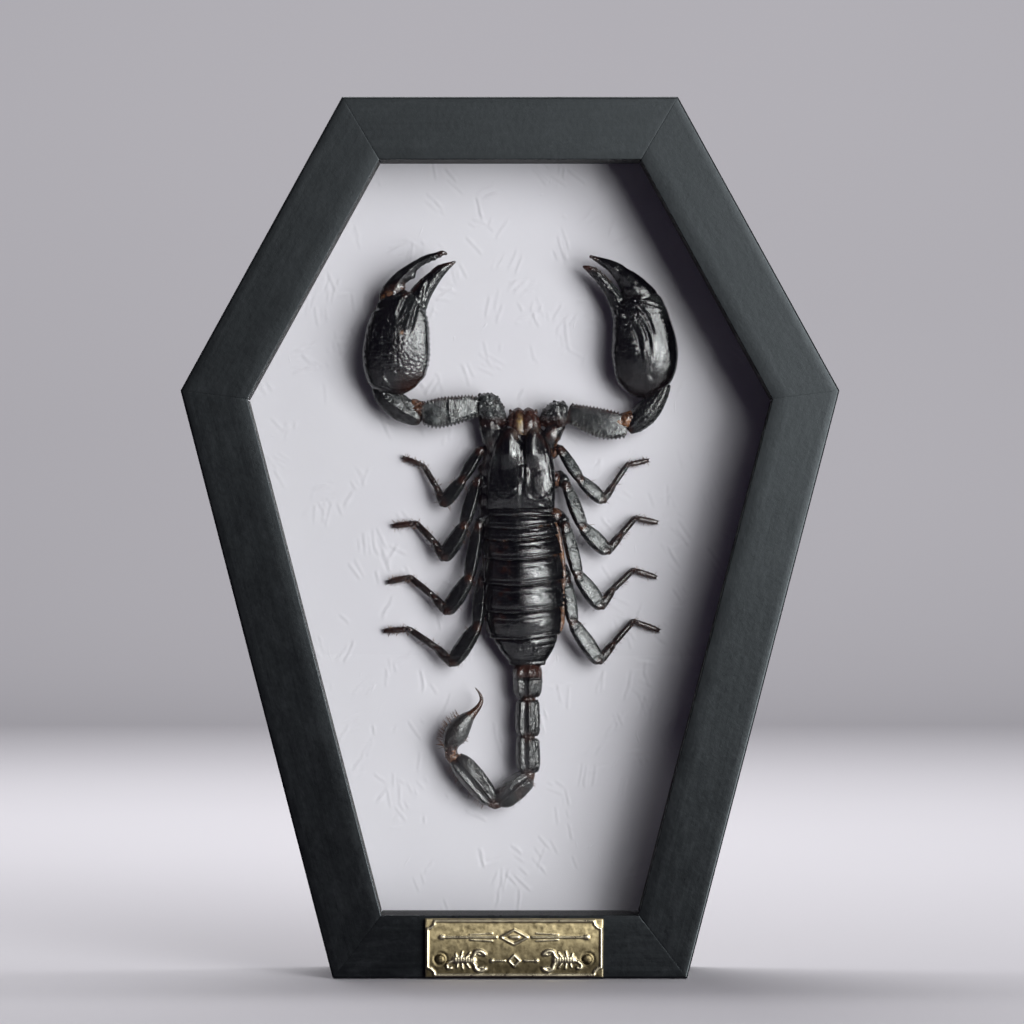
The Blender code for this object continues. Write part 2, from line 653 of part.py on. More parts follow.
def nameplate():
    """A thin plate with a raised border, two riveted corners and no lettering."""
    low = (-PLATE_WIDTH / 2, PLATE_Y, -PLATE_HEIGHT / 2)
    high = (PLATE_WIDTH / 2, PLATE_Y + PLATE_THICKNESS, PLATE_HEIGHT / 2)
    plate = box("nameplate", low, high, "brass", pivot=PLATE_CENTRE)
    bm = bmesh.new()
    loops = []
    outer = 2 * BORDER_INSET
    inner = outer + 2 * BORDER_WIDTH
    for trim, y in ((outer, 0.4), (outer, -BORDER_RISE), (inner, -BORDER_RISE), (inner, 0.4)):
        size = (PLATE_WIDTH - trim, PLATE_HEIGHT - trim)
        loops.append(loop(bm, notched_rectangle(*size, BORDER_NOTCH, PLATE_Y + y)))
    skin(bm, loops, closed=True)
    border = add_object("border", bm, "brass")
    boolean(plate, [border, *figure(-1), *figure(1)], "UNION")
    holes = []
    for number, side in enumerate((-1, 1), start=1):
        centre = (PLATE_CENTRE[0] + side * RIVET_SPACING / 2, PLATE_CENTRE[1] - RIVET_DROP)
        holes.append(hole(centre, PLATE_Y, SHANK_SHARE * RIVET_RADIUS + GAP))
        name = f"nameplate_rivet_{number}"
        pin(name, centre, PLATE_Y, RIVET_RADIUS, RIVET_RISE, PLATE_THICKNESS, -1, "brass")
    boolean(plate, holes, "DIFFERENCE")


def hanger():
    """A saw-tooth strip bowed off the back of the top rail, with a nail through each end."""
    middle = BOX_HEIGHT - RAIL_WALL / 2
    columns = [(-HANGER_LENGTH / 2, 0.0, 0.0), (-BOW_ENDS[0], 0.0, 0.0), (-BOW_ENDS[1], 1.0, 0.0)]
    for n in range(2 * HANGER_TEETH + 1):
        x = (n - HANGER_TEETH) * TOOTH_PITCH / 2
        columns.append((x, 1.0, TOOTH_DEPTH if n % 2 else 0.0))
    columns += [(-x, bow, tooth) for x, bow, tooth in reversed(columns[:3])]
    bm = bmesh.new()
    loops = []
    for x, bow, tooth in columns:
        near = BACK_Y + GAP + HANGER_BOW * bow
        far = near + HANGER_THICKNESS
        top, bottom = middle + HANGER_HEIGHT / 2, middle - HANGER_HEIGHT / 2 + tooth
        loops.append(loop(bm, ((x, near, top), (x, far, top), (x, far, bottom), (x, near, bottom))))
    skin(bm, loops)
    strip = add_object("sawtooth_hanger", bm, "steel")
    face = BACK_Y + GAP + HANGER_THICKNESS
    holes = []
    for number, side in enumerate((-1, 1), start=1):
        centre = (side * NAIL_SPACING / 2, middle)
        holes.append(hole(centre, face, SHANK_SHARE * NAIL_RADIUS + GAP))
        name = f"hanger_nail_{number}"
        pin(name, centre, face, NAIL_RADIUS, NAIL_RISE, HANGER_THICKNESS, 1, "steel")
    boolean(strip, holes, "DIFFERENCE")


for existing in list(bpy.data.objects):
    bpy.data.objects.remove(existing)

rails_and_spacers()
sheets_and_tabs()
nameplate()
hanger()
carapace()
abdomen()
jaws()
tail()
pincers()
legs()
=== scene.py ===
"""Looks of a dried scorpion in a coffin-shaped shadow box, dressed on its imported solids.

Lengths are in millimetres until a mesh is made; the floor, the lights and the camera are in
metres. A place on the scorpion is x, z and the height above the backing paper. Its hard pieces are
lofted through stations, joined into one even skin, and then worked over with ridges, grooves and
granules.
"""

import itertools
import math

import bpy
import numpy as np
from mathutils import Matrix


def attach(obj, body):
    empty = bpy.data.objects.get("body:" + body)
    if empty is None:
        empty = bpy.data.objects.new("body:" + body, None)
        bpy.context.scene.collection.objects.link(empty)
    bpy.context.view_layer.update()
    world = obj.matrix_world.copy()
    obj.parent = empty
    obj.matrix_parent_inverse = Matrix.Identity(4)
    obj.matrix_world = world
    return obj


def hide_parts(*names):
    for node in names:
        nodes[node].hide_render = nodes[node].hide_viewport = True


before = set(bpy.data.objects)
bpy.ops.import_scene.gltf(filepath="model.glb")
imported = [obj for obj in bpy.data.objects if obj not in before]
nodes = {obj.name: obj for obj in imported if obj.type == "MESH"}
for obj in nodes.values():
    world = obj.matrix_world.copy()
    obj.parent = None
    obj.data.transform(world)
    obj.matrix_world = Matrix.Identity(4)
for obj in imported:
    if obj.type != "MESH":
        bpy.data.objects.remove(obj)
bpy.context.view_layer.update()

MM = 0.001

# The box, as in the part's source
BOX_HEIGHT = 210.0
SHOULDER_HEIGHT = 140.0
TOP_WIDTH = 80.0
SHOULDER_WIDTH = 157.0
BASE_WIDTH = 84.5
FRONT_Y = -16.0
BACK_Y = 16.0
RAIL_FACE = 15.0
RAIL_WALL = 9.0
LIP_THICKNESS = 3.0
EASED_EDGE = 0.6
PAPER_Y = 6.3
PAPER_THICKNESS = 0.4
PAPER_INSET = 9.5
PLATE_WIDTH = 42.5
PLATE_HEIGHT = 14.0
PLATE_THICKNESS = 1.2
PLATE_CENTRE = (1.0, 7.35)
PLATE_Y = -17.5
RIVET_SPACING = 35.0
RIVET_DROP = 2.6
RIVET_RADIUS = 1.05
RAIL_NAMES = ("bottom", "lower_right", "upper_right", "top", "upper_left", "lower_left")


# Numbers and noise

def ramp(x, low, high):
    """0 below low, 1 above high and smooth between."""
    t = np.clip((x - low) / (high - low), 0.0, 1.0)
    return t * t * (3 - 2 * t)


def hashed(cell, seed):
    """An even random number from 0 to 1 for each whole-number cell."""
    n = cell[..., 0] * 374761393 + cell[..., 1] * 668265263 + cell[..., 2] * 1440662683
    n = (n + seed * 1274126177) & 0xFFFFFFFF
    n = ((n ^ (n >> 13)) * 1274126177) & 0xFFFFFFFF
    n = ((n ^ (n >> 15)) * 668265263) & 0xFFFFFFFF
    return ((n ^ (n >> 16)) & 0xFFFFFF) / 0xFFFFFF


def noise(p, size, seed=0, octaves=1):
    """Smooth noise from -1 to 1 with features of the given size."""
    total = 0.0
    for octave in range(octaves):
        q = p * 2**octave / size
        base = np.floor(q).astype(np.int64)
        f = q - base
        f = f * f * (3 - 2 * f)
        value = 0.0
        for corner in itertools.product((0, 1), repeat=3):
            weight = np.prod(np.where(corner, f, 1 - f), axis=-1)
            value = value + weight * hashed(base + np.array(corner), seed + octave)
        total = total + (2 * value - 1) / 2**octave
    return total


def patches(p, low, high, size, seed=0, octaves=1):
    """Soft patches from 0 to 1 where noise of a size rises from low to high."""
    return ramp(noise(p, size, seed, octaves), low, high)


def cells(p, size, seed=0):
    """Distances to the nearest and the second of scattered points, and a number for the nearest."""
    q = p / size
    base = np.floor(q).astype(np.int64)
    first = np.full(len(p), 9.0)
    second = np.full(len(p), 9.0)
    which = np.zeros(len(p))
    for step in itertools.product((-1, 0, 1), repeat=3):
        cell = base + np.array(step)
        offsets = np.stack([hashed(cell, seed + i) for i in (1, 2, 3)], axis=-1)
        distance = np.linalg.norm(q - cell - 0.1 - 0.8 * offsets, axis=-1)
        nearer = distance < first
        second = np.where(nearer, first, np.minimum(second, distance))
        which = np.where(nearer, hashed(cell, seed + 4), which)
        first = np.where(nearer, distance, first)
    return first, second, which


def granules(p, size, seed=0):
    """Round grains of about the given size, from 0 to 1, each of its own height."""
    first, second, which = cells(p, size, seed)
    return ramp(second - first, 0.0, 0.45) * (0.55 + 0.45 * which)


def beads(p, size, seed=0):
    """Scattered round beads, from 0 to 1, with bare surface between them."""
    first, _, which = cells(p, size, seed)
    return np.clip(1 - (first / 0.42) ** 2, 0, 1) * (which > 0.3)


def along(p, line):
    """Distance of each point to a line of places in x and z, and the share of the way along it."""
    line = np.array(line, float)
    steps = np.linalg.norm(np.diff(line, axis=0), axis=1)
    travelled = np.concatenate([[0.0], np.cumsum(steps)])
    best = np.full(len(p), 1e9)
    share = np.zeros(len(p))
    for a, b, start, length in zip(line, line[1:], travelled, steps):
        t = np.clip((p[:, :2] - a) @ (b - a) / length**2, 0, 1)
        distance = np.linalg.norm(p[:, :2] - a - t[:, None] * (b - a), axis=1)
        nearer = distance < best
        best = np.where(nearer, distance, best)
        share = np.where(nearer, (start + t * length) / travelled[-1], share)
    return best, share


def distance_from(p, spot):
    """Distance of each point to a place in x and z."""
    return np.linalg.norm(p[:, :2] - np.array(spot[:2]), axis=1)


def hill(x, width):
    """1 at zero, falling smoothly to both sides."""
    return np.exp(-((x / width) ** 2))


def ridge(p, line, width, fade=0.15):
    """A rounded ridge of height 1 along a line, fading out at its ends."""
    distance, share = along(p, line)
    ends = 1.0 if fade == 0 else ramp(share, -0.02, fade) * ramp(1 - share, -0.02, fade)
    return hill(distance, width) * ends


def worked(p, lines):
    """The sum of ridges and grooves, each a height, width, fade and line of places."""
    return sum(size * ridge(p, resample(line) if len(line) > 2 else line, width, fade)
               for size, width, fade, line in lines)


def beaded_keels(p, path, keels, width, fade, amount, seed):
    """Rows of beads along a path, each at a share of its half width to the right or up."""
    centre = path[:, :2]
    across = rightward(centre) * path[:, 3:4]
    rough = 0.3 + amount * beads(p, 0.62, seed)
    return sum(size * ridge(p, centre + across * share, width, fade) * rough for share, size in keels)


def bump(p, x, z, width, height=None):
    """A round or oval bump of height 1 at a place in x and z."""
    return np.exp(-(((p[:, 0] - x) / width) ** 2) - ((p[:, 1] - z) / (height or width)) ** 2)


def resample(stations, count=24):
    """Points evenly spread along a smooth curve through the stations."""
    s = np.array(stations, float)
    last = len(s) - 1
    place = np.linspace(0, last, count)
    i = np.minimum(place.astype(int), last - 1)
    t = (place - i)[:, None]
    a, b, c, d = s[np.maximum(i - 1, 0)], s[i], s[i + 1], s[np.minimum(i + 2, last)]
    slope_in, slope_out = (c - a) / 2, (d - b) / 2
    return (
        (2 * t**3 - 3 * t**2 + 1) * b
        + (t**3 - 2 * t**2 + t) * slope_in
        + (3 * t**2 - 2 * t**3) * c
        + (t**3 - t**2) * slope_out
    )


def rough_skin(p, seed, amount=1.0):
    """The uneven, granular surface of a leg, an arm or the tail."""
    coarse = 0.08 * beads(p, 0.70, seed) + 0.04 * noise(p, 0.65, seed + 1, 2)
    return amount * (coarse + 0.07 * noise(p, 1.8, seed + 2))


# Meshes

def skin_faces(rows, around):
    """Quads over rows of rings, with a face on each end."""
    faces = []
    for r in range(rows - 1):
        for i in range(around):
            j = (i + 1) % around
            faces.append((r * around + i, r * around + j, (r + 1) * around + j, (r + 1) * around + i))
    faces.append(tuple(range(around)))
    faces.append(tuple(range((rows - 1) * around, rows * around)))
    return faces


RIGHT_AND_UP = np.array([0.8, 0.6])


def tube(stations, rows=40, around=32, top=1.0, belly=1.0, profile=None):
    """A closed form through stations of x, z, height, half width and half thickness.

    The powers top and belly make its section boxy below 1 and roof-like above 1. A profile of
    places across, from the left or lower edge to the other, and heights shapes the top instead.
    """
    s = resample(stations, rows)
    centre, width, thick = s[:, :3], np.maximum(s[:, 3], 0.02), np.maximum(s[:, 4], 0.02)
    ahead = np.gradient(centre, axis=0)
    side = np.stack([ahead[:, 1], -ahead[:, 0], 0 * ahead[:, 0]], axis=1)
    side /= np.linalg.norm(side, axis=1)[:, None]
    lift = np.cross(side, ahead)
    lift /= np.linalg.norm(lift, axis=1)[:, None]
    angle = 2 * np.pi * np.arange(around) / around
    c, r = np.cos(angle), np.sin(angle)
    power = np.where(r >= 0, top, belly)
    across = np.sign(c) * np.abs(c) ** power
    rise = np.sign(r) * np.abs(r) ** power
    if profile is not None:
        table = np.array(profile)
        facing = 1 if side.mean(0)[:2] @ RIGHT_AND_UP >= 0 else -1
        rise = np.where(r >= 0, np.interp(across * facing, table[:, 0], table[:, 1]), rise)
    p = centre[:, None] + side[:, None] * (width[:, None] * across)[..., None]
    p = p + lift[:, None] * (thick[:, None] * rise)[..., None]
    return p.reshape(-1, 3), skin_faces(rows, around)


def read_mesh(mesh):
    """The points of a mesh of quads and the corners of each quad."""
    points = np.zeros(len(mesh.vertices) * 3)
    mesh.vertices.foreach_get("co", points)
    corners = np.zeros(len(mesh.loops), int)
    mesh.loops.foreach_get("vertex_index", corners)
    return points.reshape(-1, 3), corners.reshape(-1, 4)


def union(parts, voxel, smoothing=4):
    """One closed skin of even quads over overlapping closed parts."""
    points, faces, start = [], [], 0
    for part, part_faces in parts:
        points.append(part)
        faces += [[start + i for i in face] for face in part_faces]
        start += len(part)
    mesh = bpy.data.meshes.new("raw")
    mesh.from_pydata(np.vstack(points).tolist(), [], faces)
    raw = bpy.data.objects.new("raw", mesh)
    bpy.context.collection.objects.link(raw)
    skin = raw.modifiers.new("skin", "REMESH")
    skin.mode = "VOXEL"
    skin.voxel_size = voxel
    even = raw.modifiers.new("even", "SMOOTH")
    even.iterations = smoothing
    made = raw.evaluated_get(bpy.context.evaluated_depsgraph_get())
    result = read_mesh(made.data)
    bpy.data.objects.remove(raw)
    bpy.data.meshes.remove(mesh)
    return result


def normals(p, quads):
    """A unit normal for each point, from the faces round it."""
    a, b, c, d = (p[quads[:, i]] for i in range(4))
    face = np.cross(c - a, d - b)
    total = np.stack(
        [sum(np.bincount(quads[:, i], face[:, k], len(p)) for i in range(4)) for k in range(3)], axis=1
    )
    return total / np.maximum(np.linalg.norm(total, axis=1), 1e-12)[:, None]


def place(p):
    """Metres of the shared frame for places on the scorpion."""
    return np.stack([p[:, 0], PAPER_Y - p[:, 2], p[:, 1]], axis=1) * MM


def simplify(mesh, share):
    """The mesh with its least needed triangles merged, down to a share of them."""
    holder = bpy.data.objects.new("raw", mesh)
    bpy.context.collection.objects.link(holder)
    holder.modifiers.new("fewer", "DECIMATE").ratio = share
    state = bpy.context.evaluated_depsgraph_get()
    made = bpy.data.meshes.new_from_object(holder.evaluated_get(state), preserve_all_data_layers=True,
                                           depsgraph=state)
    bpy.data.objects.remove(holder)
    bpy.data.meshes.remove(mesh)
    return made


def add_piece(name, points, faces, material, replaced=(), masks=None, angle=None, share=1.0):
    """A smooth mesh in the shared frame that rides on the box, cut down to a share of its triangles."""
    mesh = bpy.data.meshes.new(name)
    mesh.from_pydata(np.asarray(points).tolist(), [], np.asarray(faces).tolist()
                     if isinstance(faces, np.ndarray) else faces)
    mesh.validate()
    mesh.shade_smooth()
    if angle is not None:
        mesh.set_sharp_from_angle(angle=math.radians(angle))
    mesh.materials.append(material)
    for mask, values in (masks or {}).items():
        mesh.attributes.new(mask, "FLOAT", "POINT").data.foreach_set("value", np.asarray(values, float))
    if share < 1.0:
        mesh = simplify(mesh, share)
        mesh.name = name
    piece = bpy.data.objects.new(name, mesh)
    bpy.context.scene.collection.objects.link(piece)
    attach(piece, "root")
    if replaced:
        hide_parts(*replaced)
    return piece


# The last mask is partly real dust and partly painted sheen on faces turned towards the key light.
MASKS = ("brown", "skin", "dust_and_sheen")
SHELL_SHARE = 0.5
PAPER_SHARE = 0.36
PLATE_SHARE = 0.6


def add_shell(name, form, relief, replaced=(), material="shell"):
    """A piece of the scorpion. relief gives each point's height along its normal and its masks."""
    p, quads = form
    n = normals(p, quads)
    height, given = relief(p, n)
    masks = {mask: np.clip(given.get(mask, np.zeros(len(p))), 0, 1) for mask in MASKS}
    add_piece(name, place(p + n * height[:, None]), quads, MATERIALS[material], replaced, masks,
              share=SHELL_SHARE)


# Materials

def node(tree, kind, inputs=None, **settings):
    """A new shader node. An input is a value or another node's socket."""
    made = tree.nodes.new("ShaderNode" + kind)
    for key, value in settings.items():
        setattr(made, key, value)
    for key, value in (inputs or {}).items():
        if isinstance(value, bpy.types.NodeSocket):
            tree.links.new(value, made.inputs[key])
        else:
            made.inputs[key].default_value = value
    return made


def colour(value):
    """A colour with its alpha added. Anything else stays as it is."""
    return (*value, 1.0) if isinstance(value, tuple) and len(value) == 3 else value


def mix(tree, share, a, b):
    """A mix of two colours, each a value or a socket."""
    made = node(tree, "Mix", {0: share, 6: colour(a), 7: colour(b)}, data_type="RGBA")
    return made.outputs[2]


def scaled(tree, value, low, high, to_low=0.0, to_high=1.0):
    """A socket's value moved from one range to another and kept within it."""
    inputs = {"Value": value, "From Min": low, "From Max": high, "To Min": to_low, "To Max": to_high}
    return node(tree, "MapRange", inputs).outputs["Result"]


def maths(tree, operation, a, b=0.0):
    return node(tree, "Math", {0: a, 1: b}, operation=operation).outputs[0]


def start_material(name):
    """A new material, its tree, its shader and the object's coordinates in metres."""
    made = bpy.data.materials.new(name)
    made.use_nodes = True
    tree = made.node_tree
    return made, tree, tree.nodes["Principled BSDF"], node(tree, "TexCoord").outputs["Object"]


def texture(tree, where, size, detail=2.0, stretch=None, rough=0.5):
    """Noise with features of a size in millimetres, stretched along the axes."""
    if stretch is not None:
        where = node(tree, "Mapping", {"Vector": where, "Scale": stretch}).outputs[0]
    inputs = {"Vector": where, "Scale": 1.0 / (size * MM), "Detail": detail, "Roughness": rough}
    return node(tree, "TexNoise", inputs).outputs["Fac"]


def crackle(tree, where, size, stretch=None):
    """Distances within cells of a size in millimetres, stretched along the axes."""
    if stretch is not None:
        where = node(tree, "Mapping", {"Vector": where, "Scale": stretch}).outputs[0]
    inputs = {"Vector": where, "Scale": 1.0 / (size * MM)}
    return node(tree, "TexVoronoi", inputs, feature="F1").outputs["Distance"]


def finish_material(tree, shader, heights, **values):
    """Chains bumps of given heights in millimetres into the shader and sets its plain values."""
    normal = None
    for height, size in heights:
        inputs = {"Height": height, "Strength": 1.0, "Distance": size * MM}
        if normal is not None:
            inputs["Normal"] = normal
        normal = node(tree, "Bump", inputs).outputs[0]
    if normal is not None:
        tree.links.new(normal, shader.inputs["Normal"])
    for key, value in values.items():
        socket = shader.inputs[key.replace("_", " ")]
        if isinstance(value, bpy.types.NodeSocket):
            tree.links.new(value, socket)
        else:
            socket.default_value = colour(value)


def shell_material(name, base, base_light, rough_range, grain_height, flesh_colours):
    """Hard shell with brown, skin, dust and painted sheen from the mesh's own masks."""
    made, tree, shader, where = start_material(name)
    masks = {m: node(tree, "Attribute", attribute_name=m).outputs["Fac"] for m in MASKS}
    mottle = texture(tree, where, 1.4, 3.0)
    shade = mix(tree, scaled(tree, mottle, 0.35, 0.7), base, base_light)
    brown = mix(tree, scaled(tree, texture(tree, where, 0.7, 3.0), 0.35, 0.65),
                (0.012, 0.0040, 0.0028), (0.048, 0.0150, 0.0080))
    shade = mix(tree, masks["brown"], shade, brown)
    flesh = mix(tree, scaled(tree, texture(tree, where, 0.6, 4.0), 0.3, 0.7), *flesh_colours)
    shade = mix(tree, masks["skin"], shade, flesh)
    speckle = scaled(tree, texture(tree, where, 0.55, 4.0, rough=0.7), 0.40, 0.62, 0.4, 1.0)
    # Painted sheen as well as dust: the pale grey-green goes where the last mask marks dust and faces turned
    # to the light.
    shade = mix(tree, maths(tree, "MULTIPLY", masks["dust_and_sheen"], speckle), shade, (0.088, 0.098, 0.097))
    grain = crackle(tree, where, 0.36)
    fine = texture(tree, where, 0.18, 3.0)
    rough = scaled(tree, mottle, 0.3, 0.75, *rough_range)
    rough = maths(tree, "ADD", rough, maths(tree, "MULTIPLY", masks["skin"], 0.2))
    rough = maths(tree, "ADD", rough, maths(tree, "MULTIPLY", masks["dust_and_sheen"], 0.10))
    finish_material(tree, shader, [(grain, grain_height), (fine, 0.6 * grain_height)], Base_Color=shade,
                    Roughness=rough, IOR=1.68)
    return made


def wood_material():
    """Satin black paint over fine straight grain. The grain attribute runs along each rail."""
    made, tree, shader, where = start_material("black_wood_paint")
    along_rail = node(tree, "Attribute", attribute_name="grain").outputs["Vector"]
    streaks = texture(tree, along_rail, 1.0, 5.0, (0.035, 0.9, 0.9), 0.6)
    fine = texture(tree, along_rail, 0.35, 3.0, (0.05, 1.0, 1.0), 0.6)
    patches = texture(tree, where, 9.0, 5.0, rough=0.65)
    stipple = texture(tree, where, 1.3, 4.0, rough=0.6)
    scuffs = texture(tree, along_rail, 2.2, 6.0, (0.30, 1.0, 1.0), 0.7)
    scuff = scaled(tree, scuffs, 0.50, 0.68)
    shade = mix(tree, scaled(tree, streaks, 0.3, 0.75), (0.0028, 0.0031, 0.0036),
                (0.0055, 0.0061, 0.0068))
    shade = mix(tree, scuff, shade, (0.0100, 0.0108, 0.0120))
    rough = maths(tree, "ADD", scaled(tree, streaks, 0.3, 0.7, 0.40, 0.43),
                  scaled(tree, patches, 0.3, 0.7, -0.02, 0.03))
    rough = maths(tree, "ADD", rough, scaled(tree, stipple, 0.3, 0.7, -0.02, 0.02))
    place_on_box = node(tree, "SeparateXYZ", {"Vector": where}).outputs
    dusty = maths(tree, "ADD", maths(tree, "MULTIPLY", place_on_box["X"], 0.5), place_on_box["Z"])
    rough = maths(tree, "ADD", rough, scaled(tree, dusty, 0.0, 0.2, -0.15, 0.035))
    finish_material(tree, shader, [(streaks, 0.008), (fine, 0.006), (stipple, 0.035)], Base_Color=shade,
                    Roughness=rough, IOR=1.60, Specular_Tint=(0.84, 0.95, 1.0))
    return made


def paper_material():
    """Pale lavender-white paper with an embossed network of fine creases."""
    made, tree, shader, where = start_material("leather_grain_paper")
    bend = node(tree, "TexNoise", {"Vector": where, "Scale": 1 / (7 * MM), "Detail": 2.0}).outputs["Color"]
    bent = node(tree, "VectorMath", {0: bend, 1: (0.0045, 0.0045, 0.0045)}, operation="MULTIPLY").outputs[0]
    moved = node(tree, "VectorMath", {0: where, 1: bent}, operation="ADD").outputs[0]
    heights = [(texture(tree, where, 0.45, 3.0), 0.010)]
    for turn, size, depth in ((1.05, 2.6, 0.055), (1.75, 3.1, 0.050), (0.45, 3.6, 0.045), (0.0, 2.2, 0.020)):
        turned = node(tree, "Mapping", {"Vector": moved, "Rotation": (0.0, turn, 0.0)}).outputs[0]
        stroke = scaled(tree, crackle(tree, turned, size, (0.13, 1.0, 1.0)), 0.02, 0.11, 1.0, 0.0)
        bundles = scaled(tree, texture(tree, turned, 11.0, 2.0), 0.47, 0.60)
        heights.append((maths(tree, "MULTIPLY", stroke, bundles), depth))
    tone = texture(tree, where, 30.0, 3.0)
    shade = mix(tree, tone, (0.705, 0.690, 0.742), (0.735, 0.725, 0.762))
    finish_material(tree, shader, heights, Base_Color=shade, Roughness=0.62, IOR=1.45)
    return made


def brass_material():
    """Antique brass: bright where it is rubbed, dark in the recesses that the mesh marks, and with painted
    shade darkening it towards the bottom.
    """
    made, tree, shader, where = start_material("antique_brass")
    raised = node(tree, "Attribute", attribute_name="raised").outputs["Fac"]
    blotch = texture(tree, where, 1.6, 5.0, rough=0.65)
    brushed = texture(tree, where, 0.5, 4.0, (0.12, 1.0, 1.0))
    dull = mix(tree, scaled(tree, blotch, 0.3, 0.7), (0.380, 0.305, 0.160), (0.760, 0.640, 0.370))
    # Painted shade: the dull brass is darkened towards the bottom of the plate.
    height = node(tree, "SeparateXYZ", {"Vector": where}).outputs["Z"]
    painted_shade_below = scaled(tree, height, 0.003, 0.0115, 0.88, 0.0)
    dull = mix(tree, painted_shade_below, dull, (0.040, 0.030, 0.016))
    bright = mix(tree, blotch, (0.78, 0.68, 0.45), (0.90, 0.82, 0.60))
    shade = mix(tree, raised, dull, bright)
    rough = maths(tree, "SUBTRACT", scaled(tree, blotch, 0.3, 0.7, 0.36, 0.56),
                  maths(tree, "MULTIPLY", raised, 0.12))
    finish_material(tree, shader, [(blotch, 0.03), (brushed, 0.01)], Base_Color=shade, Roughness=rough,
                    Metallic=1.0)
    return made


def plain_material(name, low, high, size, rough, metallic=0.0, height=0.02, stretch=None):
    """A surface whose colour and gloss vary a little with noise of one size."""
    made, tree, shader, where = start_material(name)
    fac = texture(tree, where, size, 4.0, stretch)
    shade = mix(tree, scaled(tree, fac, 0.3, 0.7), low, high)
    finish_material(tree, shader, [(fac, height)], Base_Color=shade,
                    Roughness=scaled(tree, fac, 0.3, 0.7, rough - 0.06, rough + 0.06), Metallic=metallic)
    return made


def glass_material():
    made, tree, shader, where = start_material("clear_glass")
    finish_material(tree, shader, [(texture(tree, where, 60.0, 1.0), 0.01)], Base_Color=(0.97, 0.985, 0.98),
                    Roughness=0.0, IOR=1.45, Transmission_Weight=1.0)
    return made


SKIN_COLOURS = ((0.085, 0.028, 0.011), (0.320, 0.140, 0.052))
MATERIALS = {
    "shell": shell_material("black_shell", (0.0006, 0.0007, 0.0009), (0.0018, 0.0020, 0.0024),
                            (0.13, 0.22), 0.016, SKIN_COLOURS),
    "satin_shell": shell_material("satin_black_shell", (0.0012, 0.0014, 0.0016), (0.0045, 0.0050, 0.0050),
                                  (0.18, 0.28), 0.030, SKIN_COLOURS),
    "red_shell": shell_material("red_brown_shell", (0.016, 0.0070, 0.0060), (0.040, 0.0170, 0.0135),
                                (0.20, 0.32), 0.008, ((0.060, 0.028, 0.008), (0.300, 0.190, 0.030))),
    "wood": wood_material(),
    "paper": paper_material(),
    "brass": brass_material(),
    "glass": glass_material(),
    "card": plain_material("black_card", (0.006, 0.006, 0.0065), (0.013, 0.013, 0.014), 0.6, 0.8),
    "board": plain_material("fibreboard", (0.20, 0.14, 0.085), (0.33, 0.24, 0.155), 0.9, 0.85, height=0.04),
    "steel": plain_material("steel", (0.50, 0.50, 0.50), (0.64, 0.64, 0.63), 0.5, 0.32, 1.0, 0.006,
                            (0.1, 1.0, 1.0)),
}


# The box

def coffin(inset):
    """The six corners of the box outline moved inwards, from bottom left anticlockwise."""
    outer = np.array([
        (-BASE_WIDTH / 2, 0.0), (BASE_WIDTH / 2, 0.0), (SHOULDER_WIDTH / 2, SHOULDER_HEIGHT),
        (TOP_WIDTH / 2, BOX_HEIGHT), (-TOP_WIDTH / 2, BOX_HEIGHT), (-SHOULDER_WIDTH / 2, SHOULDER_HEIGHT),
    ])
    before = outer - np.roll(outer, 1, axis=0)
    before /= np.linalg.norm(before, axis=1)[:, None]
    after = np.roll(before, -1, axis=0)
    inward = np.stack([-before[:, 1] - after[:, 1], before[:, 0] + after[:, 0]], axis=1)
    return outer + inward * inset / (1 + np.sum(before * after, axis=1))[:, None]


def arc(inset, y, start, radius, steps=5):
    """A quarter round of a radius about a centre, from a start angle in quarter turns."""
    angles = (start + np.linspace(0, 1, steps)) * math.pi / 2
    return [(inset + radius * math.cos(a), y + radius * math.sin(a)) for a in angles]


MITRE_GAP = 0.010
MITRE_EASE = 0.015  # how far the painted face dips into each mitre
WOBBLE = 0.018
INNER_EASE = 0.25
LIP_UNDERCUT = 0.3


